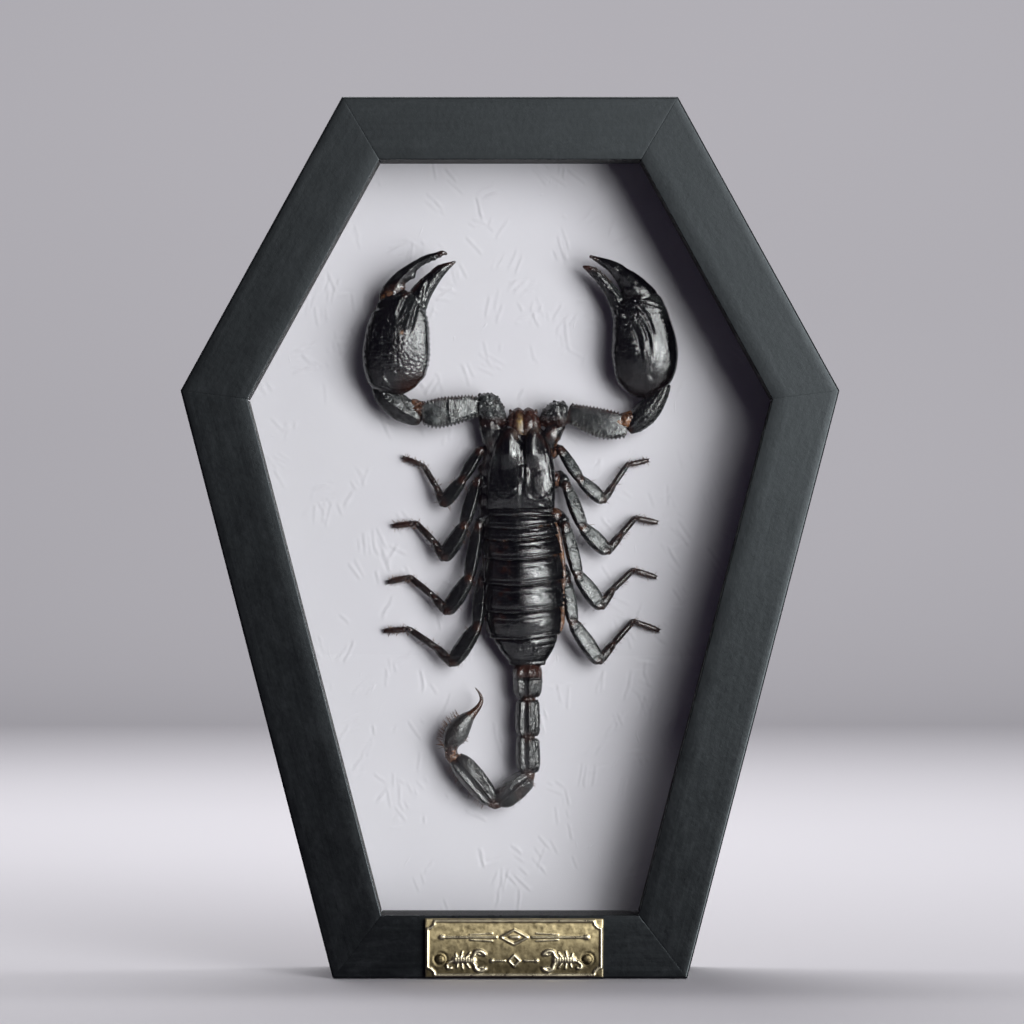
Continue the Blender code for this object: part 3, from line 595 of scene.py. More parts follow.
def rails():
    """The six painted rails, each a lofted profile with mitred ends and a slightly uneven face."""
    e = EASED_EDGE
    profile = [(0.0, BACK_Y - 0.3), (0.0, 0.0)] + arc(e, FRONT_Y + e, 2, e)
    profile += [(2.0, FRONT_Y), (5.0, FRONT_Y), (8.0, FRONT_Y), (11.0, FRONT_Y)]
    profile += arc(RAIL_FACE - INNER_EASE, FRONT_Y + INNER_EASE, 3, INNER_EASE)
    profile += [(RAIL_FACE - LIP_UNDERCUT, FRONT_Y + LIP_THICKNESS), (RAIL_WALL, FRONT_Y + LIP_THICKNESS),
                (RAIL_WALL, 0.0), (RAIL_WALL, BACK_Y - 0.3), (RAIL_WALL - 0.3, BACK_Y), (0.3, BACK_Y)]
    profile = np.array(profile)
    loops = [coffin(inset) for inset in profile[:, 0]]
    for side, name in enumerate(RAIL_NAMES):
        starts = np.array([loop[side] for loop in loops])
        ends = np.array([loop[(side + 1) % 6] for loop in loops])
        length = np.linalg.norm(ends - starts, axis=1)
        direction = (ends - starts) / length[:, None]
        across = np.array([-direction[0, 1], direction[0, 0]])
        shares = np.concatenate([[0.0, 0.0016, 0.005], np.linspace(0.012, 0.988, 70), [0.995, 0.9984, 1.0]])
        rows, grain = [], []
        for row, share in enumerate(shares):
            at = starts + direction * (MITRE_GAP + share * (length - 2 * MITRE_GAP))[:, None]
            dip = MITRE_EASE * max(0.0, 1 - min(row, len(shares) - 1 - row) / 2) ** 2
            spot = np.stack([at[:, 0], profile[:, 1], at[:, 1]], axis=1)
            wave = WOBBLE * noise(spot, 14.0, 3 + side, 2)
            middle = np.array([RAIL_FACE / 2, 0.0]) - profile
            middle /= np.linalg.norm(middle, axis=1)[:, None]
            front = ramp(-profile[:, 1], -4.0, 2.0)
            inset_by = (dip + np.maximum(wave, 0)) * middle[:, 0] * front
            y_by = (dip + np.maximum(wave, 0)) * np.maximum(middle[:, 1], 0) * front
            flat = at + across * inset_by[:, None]
            rows.append(np.stack([flat[:, 0], profile[:, 1] + y_by, flat[:, 1]], axis=1))
            grain.append(np.stack([share * length, profile[:, 0] + side * 50, profile[:, 1]], axis=1))
        points = np.vstack(rows) * MM
        faces = [face[::-1] for face in skin_faces(len(shares), len(profile))]
        piece = add_piece(f"painted_rail_{name}", points, faces, MATERIALS["wood"],
                          [f"rail_{name}"], angle=40)
        data = piece.data.attributes.new("grain", "FLOAT_VECTOR", "POINT").data
        data.foreach_set("vector", (np.vstack(grain) * MM).ravel())
        if signed_volume(points, faces) < 0:
            piece.data.flip_normals()


def signed_volume(points, faces):
    """Six times the volume, below zero where the faces look inwards."""
    total = 0.0
    for face in faces:
        a = points[face[0]]
        for b, c in zip(face[1:], face[2:]):
            total += np.dot(a, np.cross(points[b], points[c]))
    return total


for name, material in {
    "glass_pane": "glass", "backing_board": "board", "sawtooth_hanger": "steel", "hanger_nail_1": "steel",
    "hanger_nail_2": "steel", **{f"spacer_{n}": "card" for n in RAIL_NAMES},
    **{f"back_tab_{n}": "steel" for n in RAIL_NAMES},
}.items():
    nodes[name].data.materials.clear()
    nodes[name].data.materials.append(MATERIALS[material])
nodes["glass_pane"].visible_shadow = False
nodes["glass_pane"].visible_diffuse = False
rails()


PAPER_PITCH = 0.4
PAPER_COLUMNS = 330
CREASE_BUNDLES = 430
CREASE_ANGLES = (1.9, 2.2, 2.5, 1.2, 0.9, 1.6, 0.2)


def creases(flat, low, high):
    """Heights of bundles of short pressed creases, scattered between two corners."""
    rng = np.random.default_rng(5)
    height = np.zeros(len(flat))
    for _ in range(CREASE_BUNDLES):
        centre = rng.uniform(low, high)
        angle = rng.choice(CREASE_ANGLES) + rng.normal(0, 0.15)
        for _ in range(rng.integers(1, 5)):
            turn = angle + rng.normal(0, 0.10)
            length = rng.uniform(2.0, 6.5)
            start = centre + rng.normal(0, 1.1, 2)
            heading = np.array([math.cos(turn), math.sin(turn)])
            near = np.abs(flat - start).max(1) < length / 2 + 1
            q = flat[near] - start
            run, off = q @ heading, q @ np.array([-heading[1], heading[0]])
            off = off + rng.uniform(-0.02, 0.02) * run**2
            ends = ramp(length / 2 - np.abs(run), 0.0, 1.0)
            depth = rng.uniform(0.035, 0.085)
            height[near] += ends * depth * (hill(off, 0.34) - 0.7 * hill(off - 0.6, 0.40))
    return height


def paper():
    """The backing sheet: a fine grid where it shows, with bundles of pressed creases."""
    corners = coffin(PAPER_INSET)
    low, high = corners.min(0), corners.max(0)
    rows = int((high[1] - low[1]) / PAPER_PITCH)
    columns = PAPER_COLUMNS
    z = np.linspace(low[1], high[1], rows)
    half = np.interp(z, [corners[0][1], corners[2][1], corners[3][1]],
                     [corners[1][0], corners[2][0], corners[3][0]])
    x = half[:, None] * np.linspace(-1, 1, columns)[None, :]
    grid = np.stack([x, np.broadcast_to(z[:, None], x.shape), 0 * x], axis=-1).reshape(-1, 3)
    height = 0.05 * noise(grid, 14.0, 21, 2) + creases(grid[:, :2], low, high)
    y = PAPER_Y - np.clip(height, -0.05, 0.2)
    front = np.stack([grid[:, 0], y, grid[:, 1]], axis=1)
    count = rows * columns
    rim = list(range(columns)) + [r * columns + columns - 1 for r in range(1, rows)]
    rim += [count - 2 - i for i in range(columns - 1)]
    rim += [(rows - 1 - r) * columns for r in range(1, rows - 1)]
    back = front[rim].copy()
    back[:, 1] = PAPER_Y + PAPER_THICKNESS
    faces = []
    for r in range(rows - 1):
        for c in range(columns - 1):
            i = r * columns + c
            faces.append((i, i + 1, i + columns + 1, i + columns))
    for i, edge in enumerate(rim):
        j = (i + 1) % len(rim)
        faces.append((rim[j], edge, count + i, count + j))
    faces.append(tuple(count + i for i in range(len(rim)))[::-1])
    add_piece("leather_grain_paper", np.vstack([front, back]) * MM, faces, MATERIALS["paper"],
              ["backing_paper"], share=PAPER_SHARE)


paper()


# The scorpion

CARAPACE_OUTLINE = (
    (131.0, 3.2, 4.5, 7.6), (129.8, 3.1, 5.5, 8.5), (126.6, 2.9, 6.9, 9.0), (121.5, 2.8, 8.0, 9.3),
    (116.0, 2.7, 8.2, 9.5), (112.5, 2.5, 8.3, 9.0), (110.9, 2.4, 8.1, 8.4),
)
ABDOMEN_OUTLINE = (
    (111.2, 2.4, 7.7, 8.4), (107.0, 2.6, 8.5, 9.0), (103.0, 2.7, 9.1, 9.4), (99.5, 3.2, 9.2, 9.7),
    (87.5, 3.4, 9.2, 9.5), (82.5, 3.5, 8.3, 8.8), (80.0, 3.8, 7.7, 8.3), (77.7, 4.1, 6.2, 7.5),
    (75.6, 4.2, 4.4, 6.9), (73.8, 4.1, 3.5, 6.2),
)
PLATE_EDGES = (110.4, 107.2, 104.3, 99.7, 93.5, 86.9, 80.4, 74.2)
EDGE_HEIGHT = 5.2
BELLY_HEIGHT = 1.2
NOTCH_DEPTH = 4.0
NOTCH_HALF_WIDTH = 2.6
NOTCH_REACH = 7.0


def trunk(outline, rows, around, shift, vault):
    """A closed form through middle, half width and top: a vaulted back over a tucked-in belly."""
    s = resample(outline, rows)
    z, middle, half, top = (s[:, i:i + 1] for i in range(4))
    angle = 2 * np.pi * np.arange(around) / around
    c, r = np.cos(angle)[None, :], np.sin(angle)[None, :]
    back = r >= 0
    height = np.where(back, EDGE_HEIGHT + (top - EDGE_HEIGHT) * vault(z, c),
                      EDGE_HEIGHT - (EDGE_HEIGHT - BELLY_HEIGHT) * np.abs(r) ** 0.8)
    across = np.where(back, c, np.sign(c) * np.abs(c) ** 1.7)
    x = middle + half * across
    p = np.stack([x, z + shift(z, across, half), height], axis=-1)
    return p.reshape(-1, 3), skin_faces(rows, around)


FRONT_LOBES = (
    (1.0, 2.2, 0.0, [(5.1, 133.5), (5.4, 121.0)]),
    (0.95, 2.0, 0.0, [(-0.5, 132.5), (-0.6, 121.0)]),
)
SHIELD_LINES = (  # ridges and, below zero, grooves: height, width, fade at the ends, line
    (-0.45, 0.55, 0.1, [(3.2, 128.0), (3.1, 122.0)]),
    (0.22, 0.24, 0.1, [(2.9, 124.8), (2.9, 118.8)]),
    (-0.30, 0.38, 0.02, [(2.8, 118.0), (2.6, 111.0)]),
    (0.12, 0.25, 0.2, [(5.3, 119.0), (8.7, 121.4)]),
    (0.20, 0.34, 0.1, [(4.1, 115.2), (5.5, 114.1), (8.0, 114.3), (10.2, 116.9)]),
    (0.12, 0.34, 0.1, [(1.4, 115.2), (-0.4, 114.2), (-2.6, 114.4), (-4.4, 116.6)]),
    (0.16, 0.28, 0.15, [(8.9, 125.8), (9.6, 122.0), (10.2, 117.6)]),
    (0.08, 0.28, 0.15, [(-3.2, 125.8), (-3.9, 122.0), (-4.3, 117.6)]),
    (-0.55, 0.40, 0.0, [(-5.6, 111.2), (10.8, 111.5)]),
)
EYES = ((7.35, 120.2, 0.45), (6.7, 119.6, 0.3), (0.97, 116.6, 0.45), (4.1, 114.9, 0.4))
EYE_HEIGHT = 0.22


def carapace():
    """The shield over the head and the front of the body."""
    front = CARAPACE_OUTLINE[0][0]

    def notch(z, across, half):
        reach = np.maximum(0.0, 1 - (front - z) / NOTCH_REACH)
        return -NOTCH_DEPTH * reach * np.maximum(0.0, 1 - np.abs(across) * half / NOTCH_HALF_WIDTH)

    def vault(z, c):
        return np.maximum(1 - c * c, 0) ** (0.14 + 0.12 * ramp(z, 121.0, 127.0))

    form = union([trunk(CARAPACE_OUTLINE, 60, 72, notch, vault)], 0.17, 6)

    def relief(p, n):
        x, z, depth = p.T
        up = ramp(depth, 4.6, 6.6)
        front_half = ramp(z, 121.0, 125.5)
        height = front_half * worked(p, FRONT_LOBES)
        height += worked(p, SHIELD_LINES)
        height += bump(p, 3.95, 120.2, 0.50, 1.9) * (0.34 + 0.16 * beads(p, 0.7, 5))
        height += EYE_HEIGHT * sum(bump(p, *eye) for eye in EYES)
        patch = bump(p, 8.2, 113.6, 2.2, 1.3) + 0.5 * bump(p, -2.6, 112.9, 2.3, 1.5)
        ring = np.hypot((x - 8.0) / 1.35, z - 113.4)
        height += 0.16 * hill(ring - 1.0, 0.25) + patch * (0.10 + 0.15 * noise(p, 0.9, 4))
        flank = ramp(np.abs(x - 2.8), 4.2, 6.8)
        grain = beads(p, 0.75, 11) * (0.02 + 0.07 * flank + 0.10 * np.clip(patch, 0, 1))
        height = up * (height + grain + 0.05 * noise(p, 2.4, 2, 2) + 0.02 * noise(p, 0.8, 6, 2))
        edge = 1 - ramp(np.abs(z - 131.0 + 0.12 * (x - 3) ** 2), 0.2, 1.3)
        # Two spots on the front edge: a brown stain with a painted pale highlight laid over it.
        stained_highlight_spots = bump(p, 1.2, 129.6, 0.6, 1.2) + 0.8 * bump(p, 6.2, 130.8, 0.8, 0.9)
        brown = 0.3 * edge * up + 0.7 * (1 - ramp(depth, 3.5, 5.0)) + 0.3 * stained_highlight_spots
        dust_and_sheen = up * (0.5 * bump(p, -3.8, 124.1, 0.9, 1.8) + 0.6 * stained_highlight_spots)
        return height, {"brown": brown, "skin": 0.22 * stained_highlight_spots * up, "dust_and_sheen": dust_and_sheen}

    add_shell("head_shield", form, relief, ["carapace"])


BACK_SECTION = np.array((
    (-1.0, 0.0), (-0.97, 0.25), (-0.90, 0.45), (-0.78, 0.66), (-0.6, 0.83), (-0.4, 0.94), (-0.15, 1.0),
    (-0.1, 0.998), (0.0, 0.986), (0.1, 0.962), (0.25, 0.904), (0.4, 0.819), (0.5, 0.742), (0.6, 0.642),
    (0.7, 0.512), (0.8, 0.36), (0.9, 0.18), (1.0, 0.0),
))


STAINED_PLATES = (2, 3, 4, 5)
LAST_PLATE_KEELS = (
    (0.20, 0.4, 0.15, [(1.9, 80.0), (2.6, 75.0)]),
    (0.20, 0.4, 0.15, [(6.4, 80.2), (5.4, 75.0)]),
)


def abdomen():
    """The seven back plates, which are one form with seams worked into it."""
    def shift(z, across, half):
        fade = np.clip(np.minimum((z - PLATE_EDGES[-1]) / 6.0, (PLATE_EDGES[0] - z) / 3.0), 0, 1)
        return (0.5 * across + 0.9 * across**2) * fade

    form = union([trunk(ABDOMEN_OUTLINE, 90, 96, shift,
                        lambda z, c: np.interp(c, BACK_SECTION[:, 0], BACK_SECTION[:, 1]) + 0 * z)], 0.18, 6)

    def relief(p, n):
        x, place_z, depth = p.T
        up = ramp(depth, 2.2, 3.6)
        outline = np.array(ABDOMEN_OUTLINE)[::-1]
        middle, half = (np.interp(place_z, outline[:, 0], outline[:, i]) for i in (1, 2))
        across = np.clip((x - middle) / half, -1, 1)
        z = place_z - shift(place_z, across, half)
        z = place_z - shift(z, across, half) + 0.12 * noise(p, 3.0, 31, 2)
        height, brown, skin = np.zeros((3, len(p)))
        for number, (upper, lower) in enumerate(zip(PLATE_EDGES, PLATE_EDGES[1:])):
            size = upper - lower
            t = (upper - z) / size
            inside = (t >= 0) & (t < 1)
            before, after = np.clip(t, 0, None) * size, np.clip(1 - t, 0, None) * size
            plate = size * (0.085 * np.clip(t, 0, 1) + 0.035 * np.sin(np.pi * np.clip(t, 0, 1)))
            plate -= 0.55 * np.exp(-before / 0.32) + 0.11 * hill(before - min(1.9, 0.30 * size), 0.28)
            plate += 0.12 * hill(after - 0.34, 0.24) - 0.12 * hill(after - 0.90, 0.28)
            scars = sum(hill(across - place_across, 0.05) * hill(t - 0.42, 0.08)
                        for place_across in (-0.45, 0.45))
            rough = patches(p, -0.2, 0.5, 4.0, 90 + number, 2) * ramp(t, 0.4, 0.9)
            grain = 0.012 + 0.035 * rough + 0.05 * np.abs(across) ** 4
            grain = grain * granules(p, 0.50, 40 + number)
            height = np.where(inside, plate - 0.16 * scars + grain, height)
            stain = patches(p, 0.0, 0.9, 1.1, 70 + number, 3)
            seam = np.exp(-before / 0.22) + 0.6 * np.exp(-after / 0.14)
            left = hill(across + 0.6, 0.22) * hill(t - 0.4, 0.35) * (number in STAINED_PLATES)
            brown = np.where(inside, np.clip(0.45 * seam * stain + 0.7 * left * stain, 0, 1), brown)
            thirds = ramp(np.abs(across + 0.05), 0.25, 0.45) * patches(p, -0.2, 0.3, 2.5, 33 + number)
            skin = np.where(inside, 0.50 * np.exp(-before / 0.18) * stain * thirds, skin)
        keel = ramp(80.0 - place_z, 0.0, 1.5) * worked(p, LAST_PLATE_KEELS)
        height = up * (height + 0.05 * noise(p, 2.6, 8, 2) + keel)
        flank = 1 - ramp(depth, 3.2, 5.0)
        return height, {"brown": brown * up + 0.9 * flank,
                        "skin": skin * up + 0.25 * flank * ramp(x, 9, 11)}

    add_shell("back_plates", form, relief, ["abdomen"])


JAW_MIDDLE = 3.2
JAW = ((1.7, 126.2, 4.4, 1.3, 1.4), (1.95, 128.6, 5.0, 2.1, 2.1), (2.05, 131.0, 5.5, 2.30, 2.3),
       (1.90, 133.0, 5.4, 2.15, 2.2), (1.45, 134.5, 5.1, 1.75, 1.8), (0.95, 135.4, 4.8, 1.25, 1.3),
       (0.55, 135.9, 4.6, 0.7, 0.7))
JAW_SECTION = ((-1.0, 0.55), (-0.94, 0.84), (-0.7, 0.97), (-0.4, 1.0), (0.0, 0.95), (0.4, 0.80), (0.7, 0.58),
               (0.9, 0.33), (1.0, 0.0))
JAW_HORN = ((2.4, 132.0, 4.4, 0.8, 0.8), (3.0, 134.4, 4.6, 0.55, 0.55), (3.15, 135.9, 4.6, 0.28, 0.28))


def jaws():
    """The two small red-brown jaws in front of the shield."""
    for name, side in (("left_jaw", -1), ("right_jaw", 1)):
        body, horn = ([(JAW_MIDDLE + side * s[0], *s[1:]) for s in part] for part in (JAW, JAW_HORN))
        section = JAW_SECTION if side > 0 else [(-across, height) for across, height in JAW_SECTION[::-1]]
        form = union([tube(body, 36, 40, profile=section), tube(horn, 10, 12)], 0.13, 3)

        def relief(p, n, side=side):
            x, z, depth = p.T
            outer = (x - JAW_MIDDLE) * side
            height = 0.06 * noise(p, 0.9, 5, 2) + 0.03 * granules(p, 0.4, 9)
            height -= 0.25 * hill(outer - 2.9 + 0.12 * (z - 131), 0.28) * ramp(depth, 5.5, 6.5)
            yellow = (side < 0) * bump(p, 2.45, 132.6, 0.60, 1.5) * ramp(depth, 5.6, 6.6)
            amber = 0.25 * bump(p, JAW_MIDDLE, 129.4, 1.2)
            return height, {"skin": 1.1 * yellow + amber, "brown": 0.9 - 1.5 * yellow}

        add_shell(f"{name}_red_shell", form, relief, [name], "red_shell")


TAIL_HEIGHT = 4.6
TAIL_SEGMENTS = (
    ((4.15, 73.9, 3.0), (4.2, 72.8, 3.5), (4.2, 70.5, 3.6), (4.25, 68.0, 3.45), (4.35, 66.6, 2.9),
     (4.4, 66.1, 2.2)),
    ((4.25, 65.6, 2.2), (4.25, 64.8, 2.8), (4.2, 61.0, 3.05), (4.3, 58.2, 2.95), (4.3, 56.9, 2.4)),
    ((4.3, 56.5, 2.3), (4.25, 55.6, 2.8), (4.3, 51.8, 3.0), (4.4, 49.2, 2.75), (4.4, 48.1, 2.1)),
    ((4.7, 47.1, 1.7), (3.9, 46.5, 2.5), (0.9, 44.1, 3.1), (-1.5, 42.1, 2.8), (-2.9, 40.9, 1.7)),
    ((-4.4, 40.9, 1.5), (-5.2, 42.0, 2.3), (-8.1, 45.7, 2.95), (-11.5, 49.6, 2.8), (-13.2, 51.5, 1.9)),
)
TAIL_SECTION = (
    (-1.0, 0.0), (-0.97, 0.35), (-0.80, 0.70), (-0.60, 0.96), (-0.25, 0.84), (0.05, 0.90), (0.14, 1.0),
    (0.5, 0.80), (0.86, 0.56), (0.97, 0.34), (1.0, 0.0),
)
TAIL_KEELS = ((-0.62, 0.24), (0.12, 0.28), (0.88, 0.22))  # share of the half width and height
STINGER = (
    (-14.0, 52.4, 1.4), (-14.3, 53.9, 1.7), (-14.1, 55.4, 2.3), (-13.4, 57.0, 2.8), (-12.2, 58.9, 2.75),
    (-10.6, 60.9, 1.9), (-9.1, 62.3, 1.1), (-7.6, 64.0, 0.72), (-6.9, 65.6, 0.50), (-7.3, 67.1, 0.32),
    (-8.5, 68.7, 0.10),
)


def tail():
    """The five tail segments, the stinger and the crumbs at its joint."""
    for number, stations in enumerate(TAIL_SEGMENTS, start=1):
        path = [(x, z, TAIL_HEIGHT, width, 0.92 * width) for x, z, width in stations]
        fine = resample(path, 40)
        form = union([tube(path, 50, 52, belly=0.9, profile=TAIL_SECTION)], 0.15, 3)

        def relief(p, n, number=number, fine=fine):
            up = ramp(n[:, 2], -0.35, 0.15)
            height = rough_skin(p, 80 + number, 1.2)
            height += beaded_keels(p, fine, TAIL_KEELS, 0.28, 0.08, 1.1, 60 + number)
            ends = np.minimum(distance_from(p, fine[0]), distance_from(p, fine[-1]))
            browned = 0.5 if number == 4 else 0.1
            brown = 0.6 * (1 - ramp(ends, 0.4, 1.5))
            brown += browned * patches(p, -0.1, 0.8, 2.2, 5 + number, 2)
            dust_and_sheen = 0.16 * patches(p, -0.3, 0.7, 1.8, 15 + number, 3)
            # Painted sheen: the pale colour is kept mostly to faces turned right, towards the key light.
            dust_and_sheen = dust_and_sheen * (0.1 + 0.9 * ramp(n[:, 0], -0.1, 0.3))
            if number == 1:
                plate = ramp(p[:, 1], 70.9, 71.5)
                brown = np.maximum(brown, 0.95 * plate)
                height += 0.30 * bump(p, 4.1, 72.4, 3.0, 0.8)
                height -= 0.40 * ridge(p, [(0.6, 70.9), (7.8, 70.9)], 0.26)
                dust_and_sheen = dust_and_sheen * (1 - plate)
            return height * up, {"brown": brown, "dust_and_sheen": dust_and_sheen * up}

        add_shell(f"tail_shell_{number}", form, relief, [f"tail_segment_{number}"], "satin_shell")
    path = [(x, z, TAIL_HEIGHT + 0.3, width, 0.95 * width) for x, z, width in STINGER]
    form = union([tube(path, 90, 32)], 0.13, 3)

    def relief(p, n):
        height = rough_skin(p, 91)
        sting = ramp(0.55 * p[:, 0] + 0.85 * p[:, 1], 46.4, 48.2)
        base = 1 - ramp(p[:, 1], 53.0, 55.4)
        # Partly dust, partly painted sheen: the pale colour is stronger on faces turned right, towards the
        # key light.
        dust_and_sheen = 0.70 * (1 - sting) * (1 - base) * (0.3 + 0.7 * ramp(n[:, 0], -0.2, 0.4))
        return height * (1 - sting), {"brown": 0.25 + 1.2 * sting + 0.6 * base,
                                      "skin": 0.10 * sting, "dust_and_sheen": dust_and_sheen}

    add_shell("stinger_shell", form, relief, ["stinger"], "satin_shell")
    rng = np.random.default_rng(12)
    crumbs = []
    for _ in range(26):
        x, z = np.array([-14.0, 52.6]) + rng.normal(0, [0.75, 0.8])
        size = rng.uniform(0.18, 0.42)
        turn = rng.uniform(-0.5, 0.5, 2) * size
        crumbs.append(tube([(x, z, 5.6 + rng.uniform(-0.6, 0.5), 0.4 * size, 0.4 * size),
                            (x + turn[0], z + 0.7 * size, 6.0 + turn[1], size, 0.8 * size),
                            (x + turn[1], z + 1.5 * size, 5.9, 0.3 * size, 0.3 * size)], 7, 8))

    def crumb_relief(p, n):
        return 0.04 * noise(p, 0.3, 5), {"brown": np.ones(len(p)), "skin": patches(p, -0.1, 0.3, 0.8, 6),
                                         "dust_and_sheen": patches(p, 0.0, 0.5, 0.7, 9)}

    add_shell("joint_crumbs", union(crumbs, 0.09, 1), crumb_relief, material="satin_shell")


def rightward(centre):
    """Unit steps across a path in x and z, towards the right and up."""
    ahead = np.gradient(centre, axis=0)
    side = np.stack([ahead[:, 1], -ahead[:, 0]], axis=1)
    side /= np.linalg.norm(side, axis=1)[:, None]
    return side * (1 if side.mean(0) @ RIGHT_AND_UP >= 0 else -1)


THICKNESS_SHARE = {"trochanter": 0.85, "femur": 0.72, "patella": 0.85, "palm": 0.57,
                   "fixed_finger": 0.75, "movable_finger": 0.72}
PINCERS = {  # stations of x, z, height and half width
    "left_trochanter": ((-1.9, 131.8, 4.4, 1.5), (-3.4, 134.4, 5.0, 2.5), (-5.2, 136.6, 5.3, 3.1),
                        (-7.6, 136.9, 5.5, 2.6)),
    "left_femur": ((-7.2, 136.7, 5.0, 2.0), (-8.6, 136.5, 5.1, 2.5), (-11.5, 136.1, 5.4, 2.9),
                   (-15.0, 135.4, 5.7, 3.4), (-18.6, 134.9, 6.0, 3.3), (-21.3, 134.6, 6.2, 2.2)),
    "left_patella": ((-21.4, 133.2, 5.1, 1.3), (-23.2, 134.3, 5.3, 2.5), (-27.0, 136.6, 5.3, 3.2),
                     (-30.2, 139.2, 5.3, 2.7), (-32.0, 142.0, 5.3, 1.7)),
    "left_palm": ((-27.4, 139.4, 6.3, 1.6), (-27.5, 141.0, 6.3, 4.9), (-27.7, 143.6, 6.3, 7.1),
                  (-27.6, 148.3, 6.3, 8.1), (-27.3, 152.5, 6.3, 7.9), (-27.0, 157.0, 6.3, 7.2),
                  (-27.5, 160.6, 6.3, 5.9), (-28.3, 162.6, 6.3, 4.2), (-28.7, 163.4, 6.2, 3.0)),
    "left_fixed_finger": ((-24.2, 158.4, 6.3, 3.4), (-21.8, 163.3, 6.4, 2.7), (-19.7, 166.1, 6.5, 2.1),
                          (-17.5, 168.6, 6.6, 1.55), (-15.8, 170.0, 6.7, 1.15), (-13.2, 171.5, 6.8, 0.2)),
    "left_movable_finger": ((-29.3, 160.4, 5.6, 2.4), (-28.8, 162.4, 6.1, 3.05), (-27.9, 164.9, 6.6, 2.6),
                            (-26.4, 167.2, 6.7, 2.05), (-24.4, 169.1, 6.8, 1.6), (-22.7, 170.7, 6.9, 1.15),
                            (-20.3, 172.1, 7.0, 0.98), (-18.0, 172.9, 7.0, 0.85), (-16.3, 173.5, 7.1, 0.6),
                            (-15.2, 173.4, 7.1, 0.2)),
    "right_trochanter": ((8.6, 131.8, 4.4, 1.5), (9.8, 133.8, 5.0, 2.6), (11.4, 134.7, 5.3, 3.2),
                         (13.8, 135.0, 5.5, 2.6)),
    "right_femur": ((13.9, 135.0, 5.5, 2.0), (15.2, 134.6, 5.5, 2.5), (18.0, 133.7, 5.5, 2.9),
                    (21.7, 132.6, 5.5, 3.4), (25.2, 131.9, 5.5, 3.2), (28.2, 131.8, 5.5, 2.2)),
    "right_patella": ((28.4, 130.9, 5.1, 1.3), (30.1, 132.5, 5.3, 2.5), (32.9, 135.2, 5.3, 3.0),
                      (35.6, 138.6, 5.3, 2.4), (37.3, 142.4, 5.3, 1.7)),
    "right_palm": ((32.0, 138.6, 6.3, 1.4), (32.0, 140.3, 6.3, 4.3), (32.2, 143.0, 6.3, 6.7),
                   (32.6, 147.8, 6.3, 7.9), (32.4, 152.0, 6.3, 7.8), (31.8, 156.6, 6.3, 7.0),
                   (31.5, 159.8, 6.3, 6.3), (31.4, 162.0, 6.3, 5.4), (31.2, 163.2, 6.1, 3.8)),
    "right_fixed_finger": ((28.2, 157.6, 6.3, 3.2), (25.4, 162.7, 6.4, 2.0), (23.1, 166.0, 6.5, 1.6),
                           (21.0, 168.3, 6.6, 1.3), (19.3, 169.6, 6.7, 0.95), (17.6, 170.3, 6.8, 0.3)),
    "right_movable_finger": ((33.0, 159.2, 5.4, 3.0), (32.2, 161.2, 6.0, 4.1), (31.0, 163.2, 6.5, 4.1),
                             (29.4, 165.8, 6.7, 3.1), (27.2, 168.1, 6.8, 2.2), (25.0, 170.0, 6.9, 1.55),
                             (22.7, 171.3, 7.0, 1.05), (21.0, 172.1, 7.0, 0.7), (19.3, 172.8, 7.1, 0.2)),
}
VAULT = {
    "left": ((-1.0, 0.0), (-0.97, 0.35), (-0.85, 0.66), (-0.65, 0.86), (-0.4, 0.97), (-0.1, 1.0),
             (0.0, 0.995), (0.2, 0.964), (0.35, 0.925), (0.5, 0.871), (0.65, 0.803), (0.8, 0.717),
             (0.9, 0.640), (0.96, 0.50), (1.0, 0.0)),
    "right": ((-1.0, 0.0), (-0.96, 0.34), (-0.84, 0.60), (-0.62, 0.82), (-0.38, 0.95), (-0.1, 1.0),
              (0.0, 0.995), (0.2, 0.964), (0.35, 0.924), (0.48, 0.874), (0.6, 0.812), (0.7, 0.737),
              (0.8, 0.624), (0.9, 0.451), (0.96, 0.27), (1.0, 0.0)),
}
HAND_KEELS = {
    "left": ([(-22.7, 164.1), (-22.9, 162.2), (-24.1, 158.5), (-25.3, 153.7)],
             [(-25.3, 164.1), (-26.8, 161.0), (-28.2, 157.8)],
             [(-19.8, 168.2), (-21.4, 165.0), (-22.0, 161.0), (-22.0, 157.6)],
             [(-31.6, 160.8), (-33.0, 156.0), (-33.6, 149.0)],
             [(-31.3, 144.8), (-29.9, 141.9), (-27.5, 140.6)]),
    "right": ([(25.1, 162.2), (27.0, 157.8), (29.4, 153.5), (30.6, 148.0)],
              [(26.5, 162.6), (28.9, 159.3), (31.8, 154.4), (32.8, 149.5)],
              [(28.6, 161.8), (31.6, 158.2), (34.0, 153.0)],
              [(36.0, 160.0), (37.6, 154.0), (38.3, 147.0)],
              [(32.5, 144.6), (33.7, 142.4)]),
}
INNER_EDGE = {
    "left": [(-20.2, 161.8), (-20.5, 159.8), (-20.0, 157.8), (-19.5, 154.9), (-19.3, 150.1), (-19.8, 146.5)],
    "right": [(25.1, 160.2), (25.3, 157.8), (24.8, 154.9), (24.6, 151.3), (24.8, 148.2), (25.3, 145.3),
              (26.0, 142.4)],
}
